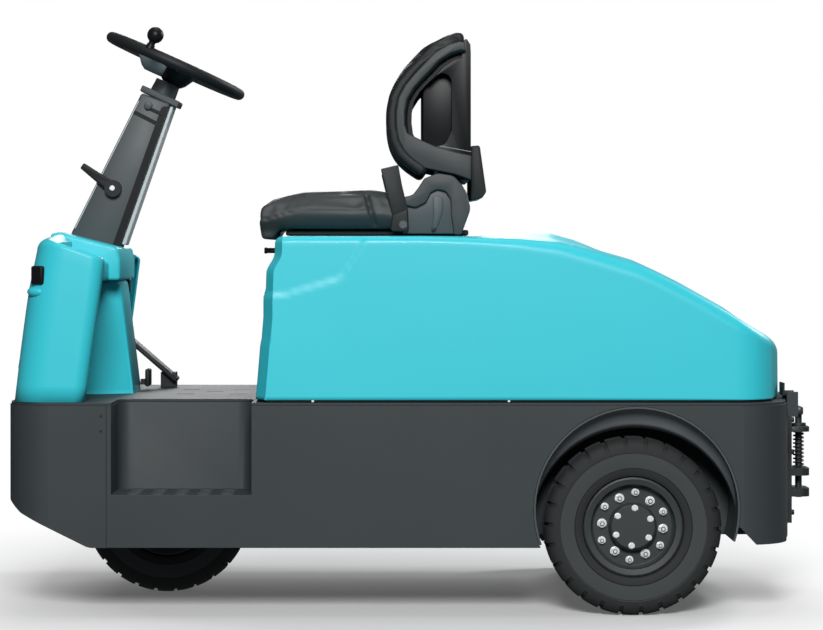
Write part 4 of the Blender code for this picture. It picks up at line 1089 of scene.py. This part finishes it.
# %% Seat cushion
seat_low = low["seat_cushion"].z
cushion_corners = [
    (0.36, 0.877, 0.004), (0.388, 0.877, 0.008), (0.3965, 0.954, 0.016), (0.364, 0.968, 0.03),
    (0.286, 0.985, 0.06), (0.117, 0.991, 0.06), (0.026, 0.976, 0.015), (0.0225, seat_low + 0.002, 0.01),
    (0.344, seat_low + 0.002, 0.004),
]
cushion = eased(plate(cushion_corners, -0.23, 0.23), 0.02, 4, 50)
cushion = puffed(
    cushion, "cushion_form", 0.0055, 3.5, 0.007,
    lambda spot: ease((spot.z - seat_low - 0.004) / 0.03) * ease((0.3 - abs(spot.y)) / 0.05),
)


def cross_channel(x):
    return lambda spot, normal: abs(spot.x - x) if abs(spot.y) < 0.15 and normal.z > 0.4 else None


def bolster_seam(spot, normal):
    return abs(abs(spot.y) - 0.155) if normal.z > 0.3 and spot.x > 0.03 else None


def welt_seam(spot, normal):
    return abs(spot.z - (0.945 - 0.02 * ease((spot.x - 0.3) / 0.09))) if abs(normal.z) < 0.75 else None


def side_seam(x, slope):
    def gap(spot, normal):
        return abs(spot.x - x - (spot.z - 0.93) * slope) if abs(normal.y) > 0.6 else None
    return gap


for vertex in cushion.verts:
    vertex.co.y *= 1 - 0.075 * ease((0.928 - vertex.co.z) / 0.035)
    if vertex.co.z > 0.93 and abs(vertex.co.y) < 0.158:
        vertex.co.z -= 0.011 * ease((0.158 - abs(vertex.co.y)) / 0.035) * ease((vertex.co.z - 0.93) / 0.03)
pressed(cushion, [(cross_channel(x), 0.0035, 0.006) for x in (0.095, 0.165, 0.235, 0.305)]
        + [(bolster_seam, 0.003, 0.006), (welt_seam, 0.0022, 0.0035)]
        + [(side_seam(0.118, 0.28), 0.0045, 0.008)])
cushion_piece = piece(
    "seat_cushion_cover", cushion, "seat_vinyl", "bonnet", ("seat_cushion",), 60
)
finer(cushion_piece)
print("cushion faces", len(cushion_piece.data.polygons))

# %% [markdown]
# ## Back cushion
# The back pad is a thick crescent seen from the side. Its bolsters stand proud of the middle, a welt
# runs round its side a hand's breadth behind the front, and four channels cross its middle.

# %% Back cushion
back_front = [
    (-0.001, 1.025), (0.024, 1.041), (0.044, 1.056), (0.065, 1.078), (0.08, 1.108), (0.087, 1.145),
    (0.088, 1.185), (0.082, 1.224), (0.064, 1.26), (0.039, 1.292), (0.011, 1.322), (-0.019, 1.352),
    (-0.058, 1.374), (-0.088, 1.3825), (-0.105, 1.38),
]
back_middle = Vector((-0.115, 1.19))


def back_line(depth):
    return [Vector(p) + (back_middle - Vector(p)).normalized() * depth for p in back_front]


def back_gap(spot):
    """Depth of a point behind the front line of the pad."""
    best = None
    flat = Vector((spot.x, spot.z))
    for a, b in zip(back_front, back_front[1:]):
        a, b = Vector(a), Vector(b)
        run = b - a
        share = min(1.0, max(0.0, (flat - a).dot(run) / run.length_squared))
        gap = (a + run * share - flat).length
        best = gap if best is None or gap < best else best
    return best


print("back line points", len(back_front))

# %% [markdown]
# ### Shape of the back pad
# The pad is pushed out from its side outline, inflated, and then sunk in the middle between the
# bolsters, before the welt and the channels are pressed in.

# %% Back pad
back_corners = [(p.x, p.y, 0.0) for p in back_line(0.002) + list(reversed(back_line(0.054)))]
back = eased(plate(back_corners, -0.231, 0.231), 0.016, 4, 50)
back = puffed(
    back, "back_form", 0.0055, 3.5, 0.006,
    lambda spot: ease((0.05 - back_gap(spot)) / 0.025) * ease((spot.z - 1.03) / 0.03),
)
for vertex in back.verts:
    spot = vertex.co
    front_share = ease((0.03 - back_gap(spot)) / 0.02)
    sunk = 0.026 * ease((0.165 - abs(spot.y)) / 0.045) * front_share
    direction = Vector((back_middle.x - spot.x, 0, back_middle.y - spot.z)).normalized()
    vertex.co = spot + direction * sunk


def back_welt(spot, normal):
    return abs(back_gap(spot) - 0.03) if abs(normal.y) > 0.55 else None


def back_bolster(spot, normal):
    return abs(abs(spot.y) - 0.168) if normal.x > 0.2 and back_gap(spot) < 0.04 else None


def back_channel(z):
    return lambda spot, normal: abs(spot.z - z) if abs(spot.y) < 0.15 and normal.x > 0.3 else None


pressed(back, [(back_welt, 0.0028, 0.006), (back_bolster, 0.003, 0.006)]
        + [(back_channel(z), 0.0035, 0.006) for z in (1.09, 1.15, 1.21, 1.27, 1.32)])
# The back pad's cover is the seat vinyl darkened, as painted shade.
back_piece = piece("seat_back_cover", back, "pad_vinyl_painted_shade", "bonnet", ("seat_back",), 60)
finer(back_piece)
print("back faces", len(back_piece.data.polygons))

# %% [markdown]
# ## Seat shell
# Behind the pad is a moulded casing: a full-width rear spine that wraps over the top and under the
# bottom of the pad, round a narrower core. The hollow between them is what gives the deep shadow in
# the side view, and the slot behind the pad goes right through.

# %% Seat shell
def spine_side(rear_edge):
    """Side outline of the casing: up the rear, along the pad's back and round the hollow."""
    inner = back_line(0.0662)
    corners = [(rear_edge, 1.018, 0.006), (-0.04, 1.04, 0.0)]
    corners += [(p.x, p.y, 0.0) for p in inner[1:4]]
    corners += [(-0.0344, 1.102, 0.01), (-0.058, 1.108, 0.018), (-0.0735, 1.14, 0.02),
                (-0.0735, 1.262, 0.022), (-0.058, 1.292, 0.02)]
    corners += [(p.x, p.y, 0.0) for p in inner[-6:-1]]
    return corners + [(-0.106, 1.37, 0.004), (-0.1185, 1.35, 0.0), (rear_edge, 1.33, 0.0)]


def soft_rear(bm, rear_edge, radius):
    """Rounds the two upright rear edges, so that the light fades round them."""
    edges = [e for e in bm.edges if all(v.co.x < rear_edge + 0.004 for v in e.verts)
             and abs(e.verts[0].co.z - e.verts[1].co.z) > 0.03]
    bmesh.ops.bevel(bm, geom=edges, offset=radius, segments=6, profile=0.5, affect="EDGES", material=-1)
    return bm


spine = soft_rear(plate(spine_side(-0.1205), -0.2145, 0.2145), -0.1205, 0.02)
eased(spine, 0.005, 3, 45)
piece("seat_spine", spine, "gloss_plastic_black", "bonnet", ("seat_shell",), 40)
print("spine made")

# %% [markdown]
# ### Moulded sides of the back
# On each side a band runs behind the pad's seam and sweeps under the pad to the rear. Behind it the
# dark back of the pad shows inside the hollow. Both follow the pad's own line at a greater depth.

# %% Moulded sides, core and pocket
wrap = [(p.x, p.y, 0.0) for p in back_line(0.0265)[2:] + list(reversed(back_line(0.048)[5:]))]
wrap += [(0.0335, 1.134, 0.0), (0.0057, 1.12, 0.0), (-0.0344, 1.102, 0.0), (-0.0825, 1.088, 0.0),
         (-0.12, 1.08, 0.0), (-0.12, 1.021, 0.0), (-0.0825, 1.034, 0.0), (-0.0424, 1.042, 0.0),
         (-0.0064, 1.05, 0.0)]
wrap_shape = eased(plate(wrap, 0.19, 0.2325), 0.0035, 3, 45)
both("seat_wrap", wrap_shape, "seat_moulding", "bonnet", (), 50)
pad_back = [(p.x, p.y, 0.0) for p in back_line(0.044) + list(reversed(back_line(0.065)))]
both("pad_edge", plate(pad_back, 0.12, 0.204), "gloss_plastic_black", "bonnet", (), 50)
core_corners = [(-0.1, 1.09, 0.0), (-0.003, 1.09, 0.0), (-0.003, 1.29, 0.0), (-0.1, 1.3, 0.0)]
core = eased(plate(core_corners, -0.178, 0.178), 0.004, 2)
piece("seat_core", core, "gloss_plastic_black", "bonnet")
stalk_corners = [(-0.1, 0.901, 0.0), (-0.1, 1.02, 0.0), (-0.034, 1.02, 0.0), (-0.034, 0.901, 0.0)]
stalk = eased(plate(stalk_corners, -0.168, 0.168), 0.006)
piece("seat_stalk", stalk, "dark_plastic", "bonnet")
seam_corners = [(-0.121, 1.0885, 0.0), (-0.121, 1.0905, 0.0), (-0.045, 1.1045, 0.0), (-0.045, 1.1025, 0.0)]
seam = eased(plate(seam_corners, 0.214, 0.2152), 0.0004, 1)
piece("seat_shell_seam", gather(seam, flipped(seam.copy())), "dish_grey", "bonnet")
pocket_corners = [(-0.121, 1.106, 0.0), (-0.144, 1.108, 0.006), (-0.16, 0.994, 0.01), (-0.15, 0.978, 0.012),
                  (-0.121, 0.973, 0.0)]
pocket = eased(plate(pocket_corners, -0.15, 0.15), 0.004, 3)
piece("document_box", pocket, "dark_plastic", "bonnet", ("document_pocket",), 35)
print("seat shell pieces 9")

# %% [markdown]
# ## Recliner covers and their levers
# Each side of the seat has a moulded cover over the recliner: a raised arch that sweeps into the
# cushion, a plain plate inside it, and a tongue-shaped lever with a black end.

# %% Recliners
def side_plate(name, corners, near, far, rounding, material, stands_for=()):
    """A flat moulded piece on each side of the seat."""
    shape = eased(plate(corners, near, far), *rounding)
    both(name, shape, material, "bonnet", stands_for)


side_plate("recliner_plate", [
    (0.045, 0.8905, 0.004), (0.045, 0.975, 0.004), (0.0125, 0.99, 0.03), (-0.045, 1.0325, 0.05),
    (-0.107, 1.0035, 0.04), (-0.119, 0.95, 0.03), (-0.097, 0.8905, 0.004),
], 0.2155, 0.2285, (0.004, 2, 45), "column_paint", ("seat_recliner",))
side_plate("recliner_arch", [
    (0.045, 0.96, 0.003), (0.045, 0.979, 0.003), (0.0217, 0.984, 0.012), (0.0077, 1.002, 0.0),
    (-0.0063, 1.024, 0.012), (-0.0384, 1.0375, 0.03), (-0.0785, 1.031, 0.03), (-0.1005, 1.006, 0.03),
    (-0.1178, 0.958, 0.02), (-0.1166, 0.944, 0.01), (-0.0965, 0.8885, 0.0), (-0.0785, 0.8885, 0.0),
    (-0.0715, 0.94, 0.03), (-0.0705, 0.974, 0.018), (-0.0585, 0.993, 0.012), (-0.0384, 0.998, 0.014),
    (-0.0224, 0.99, 0.01), (-0.0104, 0.966, 0.012), (0.0137, 0.954, 0.012),
], 0.227, 0.24, (0.005, 3, 40), "seat_moulding")
side_plate("recliner_lever", [
    (-0.027, 0.983, 0.006), (-0.052, 0.979, 0.008), (-0.053, 0.953, 0.018), (-0.044, 0.921, 0.012),
    (-0.033, 0.8965, 0.003), (-0.0245, 0.8965, 0.003), (-0.029, 0.93, 0.02),
], 0.2275, 0.2335, (0.0015, 2, 40), "column_paint")
side_plate("recliner_tip", [
    (-0.0245, 0.8962, 0.002), (-0.024, 0.904, 0.002), (-0.0365, 0.905, 0.002), (-0.033, 0.8962, 0.002),
], 0.229, 0.2362, (0.001, 2, 40), "dark_plastic")
print("recliner pieces 8")

# %% [markdown]
# ## Hip restraints
# A padded strap-shaped plate stands up from a block that is bolted beside the cushion.

# %% Hip restraints
side_plate("restraint_strap", [
    (0.0985, 1.047, 0.003), (0.056, 1.057, 0.003), (0.047, 1.008, 0.01), (0.032, 0.945, 0.004),
    (0.068, 0.93, 0.004), (0.088, 1.002, 0.012),
], 0.2356, 0.245, (0.0022, 2, 40), "dark_plastic", ("hip_restraint",))
side_plate("restraint_block", [
    (0.07, 0.936, 0.004), (0.033, 0.952, 0.004), (0.031, 0.896, 0.006), (0.076, 0.896, 0.008),
], 0.2356, 0.2488, (0.003, 3, 40), "dark_plastic")
bolt = bmesh.new()
add_rod(bolt, (0.0445, 0.247, 0.913), (0.0445, 0.2495, 0.913), 0.0095, sides=28)
add_bolt(bolt, (0.0445, 0.248, 0.913), (0, 1, 0), 0.0085, 0.003)
both("restraint_bolt", bolt, "dark_steel", "bonnet")
refined("seat_base", "dark_plastic", 0.0015, 35)
print("restraint pieces 6")

# %% [markdown]
# ## Battery
# The traction battery is a steel tray of cells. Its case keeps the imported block. The cell lids,
# the filling caps and the lead links on top are new.

# %% Battery
refined("battery", "battery_case", 0.002)
cells = bmesh.new()
battery_top = high["battery"].z
for row in range(3):
    for column in range(4):
        centre = Vector((-0.085 + 0.168 * row, -0.2175 + 0.145 * column, battery_top))
        lid = box((centre.x - 0.078, centre.x + 0.078), (centre.y - 0.066, centre.y + 0.066),
                  (battery_top - 0.001, battery_top + 0.004))
        cells = gather(cells, eased(lid, 0.0015, 2))
        for shift in (-0.045, 0.0, 0.045):
            cap = centre + Vector((shift, 0, 0.003))
            add_rod(cells, cap, cap + Vector((0, 0, 0.008)), 0.011, 0.009, 20)
piece("battery_cells", cells, "dark_plastic", "chassis", smooth=35)
links = bmesh.new()
for row in range(3):
    for column in range(3):
        x = -0.085 + 0.168 * row + (0.06 if column % 2 else -0.06)
        y = -0.145 + 0.145 * column
        link = box((x - 0.008, x + 0.008), (y - 0.04, y + 0.04), (battery_top + 0.004, battery_top + 0.009))
        links = gather(links, eased(link, 0.0015, 2))
piece("battery_links", links, "dark_steel", "chassis", smooth=35)
print("battery cells 12, links 9")

# %% [markdown]
# ## Coupling
# Three thick jaws on a base plate carry the draw pin. A coil spring between the upper two jaws
# keeps the pin down. The spring is a curve swept with a round section, then made a mesh.

# %% Coupling
refined("tow_coupling", "dark_steel", 0.0018)
refined("tow_pin", "dark_steel", 0.001)
pin_x = (low["tow_pin"].x + high["tow_pin"].x) / 2
spring_low, spring_high, spring_reach = 0.3105, 0.3965, 0.0122
spring_curve = bpy.data.curves.new("spring", "CURVE")
spring_curve.dimensions = "3D"
spring_curve.bevel_depth = 0.002
spring_curve.bevel_resolution = 3
turns, per_turn = 9, 20
spline = spring_curve.splines.new("POLY")
spline.points.add(turns * per_turn)
for index in range(turns * per_turn + 1):
    angle = 2 * math.pi * index / per_turn
    z = spring_low + (spring_high - spring_low) * index / (turns * per_turn)
    spline.points[index].co = (pin_x + spring_reach * math.cos(angle), spring_reach * math.sin(angle), z, 1)
spring_curve.use_fill_caps = True
holder = bpy.data.objects.new("spring_curve", spring_curve)
bpy.context.scene.collection.objects.link(holder)
bpy.context.view_layer.update()
spring_mesh = bpy.data.meshes.new_from_object(holder.evaluated_get(bpy.context.evaluated_depsgraph_get()))
spring = bmesh.new()
spring.from_mesh(spring_mesh)
bpy.data.objects.remove(holder, do_unlink=True)
bmesh.ops.recalc_face_normals(spring, faces=spring.faces)
piece("pin_spring", spring, "dark_steel", "chassis", smooth=60)
plate_x = -0.9205
fixings = bmesh.new()
for y in (-0.054, 0.054):
    for z in (0.2, 0.35, 0.43):
        add_bolt(fixings, (plate_x + 0.0008, y, z), (-1, 0, 0), 0.013, 0.008)
piece("coupling_bolts", fixings, "dark_steel", "chassis", smooth=30)
print("coupling pieces 4")

# %% [markdown]
# ## Marker lamps
# A black side-marker lamp sits on each upper front corner of the cowl, above the small round brow.
# It is a block with rounded edges, turned to lie against the corner.

# %% Marker lamps
lamp = eased(box((-0.0185, 0.0185), (-0.006, 0.0075), (-0.022, 0.022)), 0.005, 3)
lamp_place = Matrix.Translation((0.8965, 0.4605, 0.7925)) @ Matrix.Rotation(math.radians(-40), 4, "Z")
bmesh.ops.transform(lamp, matrix=lamp_place, verts=lamp.verts)
both("marker_lamp", lamp, "gloss_plastic_black", "chassis", (), 40)
print("marker lamps 2")

# %% [markdown]
# ## Steps, deck and fixings
# The step floor has rows of raised oval pads against slipping, each a squashed sphere sunk halfway.
# The deck's slots and the skirt's two small holes are thin dark plates that barely stand proud:
# painted shade for the dark inside of each opening.

# %% Steps and deck details
pads = bmesh.new()
for index in range(5):
    for y in (0.375, 0.43, 0.478):
        spot = Matrix.Translation((0.455 + 0.0545 * index, y - 0.004, 0.2828))
        bmesh.ops.create_uvsphere(pads, u_segments=20, v_segments=10, radius=1.0,
                                  matrix=spot @ Matrix.Diagonal((0.02, 0.0085, 0.0058, 1)))
both("step_pads", pads, "chassis_paint", "chassis", (), 60)
# Dark plates on the deck: painted shade for the inside of its slots.
openings = bmesh.new()
for x, y in ((0.58, -0.105), (0.45, -0.105), (0.58, 0.105), (0.45, 0.105), (0.515, 0.0)):
    opening = box((x - 0.02, x + 0.02), (y - 0.015, y + 0.015), (deck - 0.002, deck + 0.0006))
    openings = gather(openings, eased(opening, 0.0002, 1))
piece("deck_slots_painted_shade", openings, "dark_plastic", "chassis")
# Dark discs on the skirt: painted shade for the inside of its two holes.
holes = bmesh.new()
for z in (0.4655, 0.4307):
    add_rod(holes, (0.747, half_width - 0.004, z), (0.747, half_width + 0.0002, z), 0.0035, sides=16)
both("skirt_holes_painted_shade", holes, "dark_plastic", "chassis")
print("step, deck and skirt details 5")
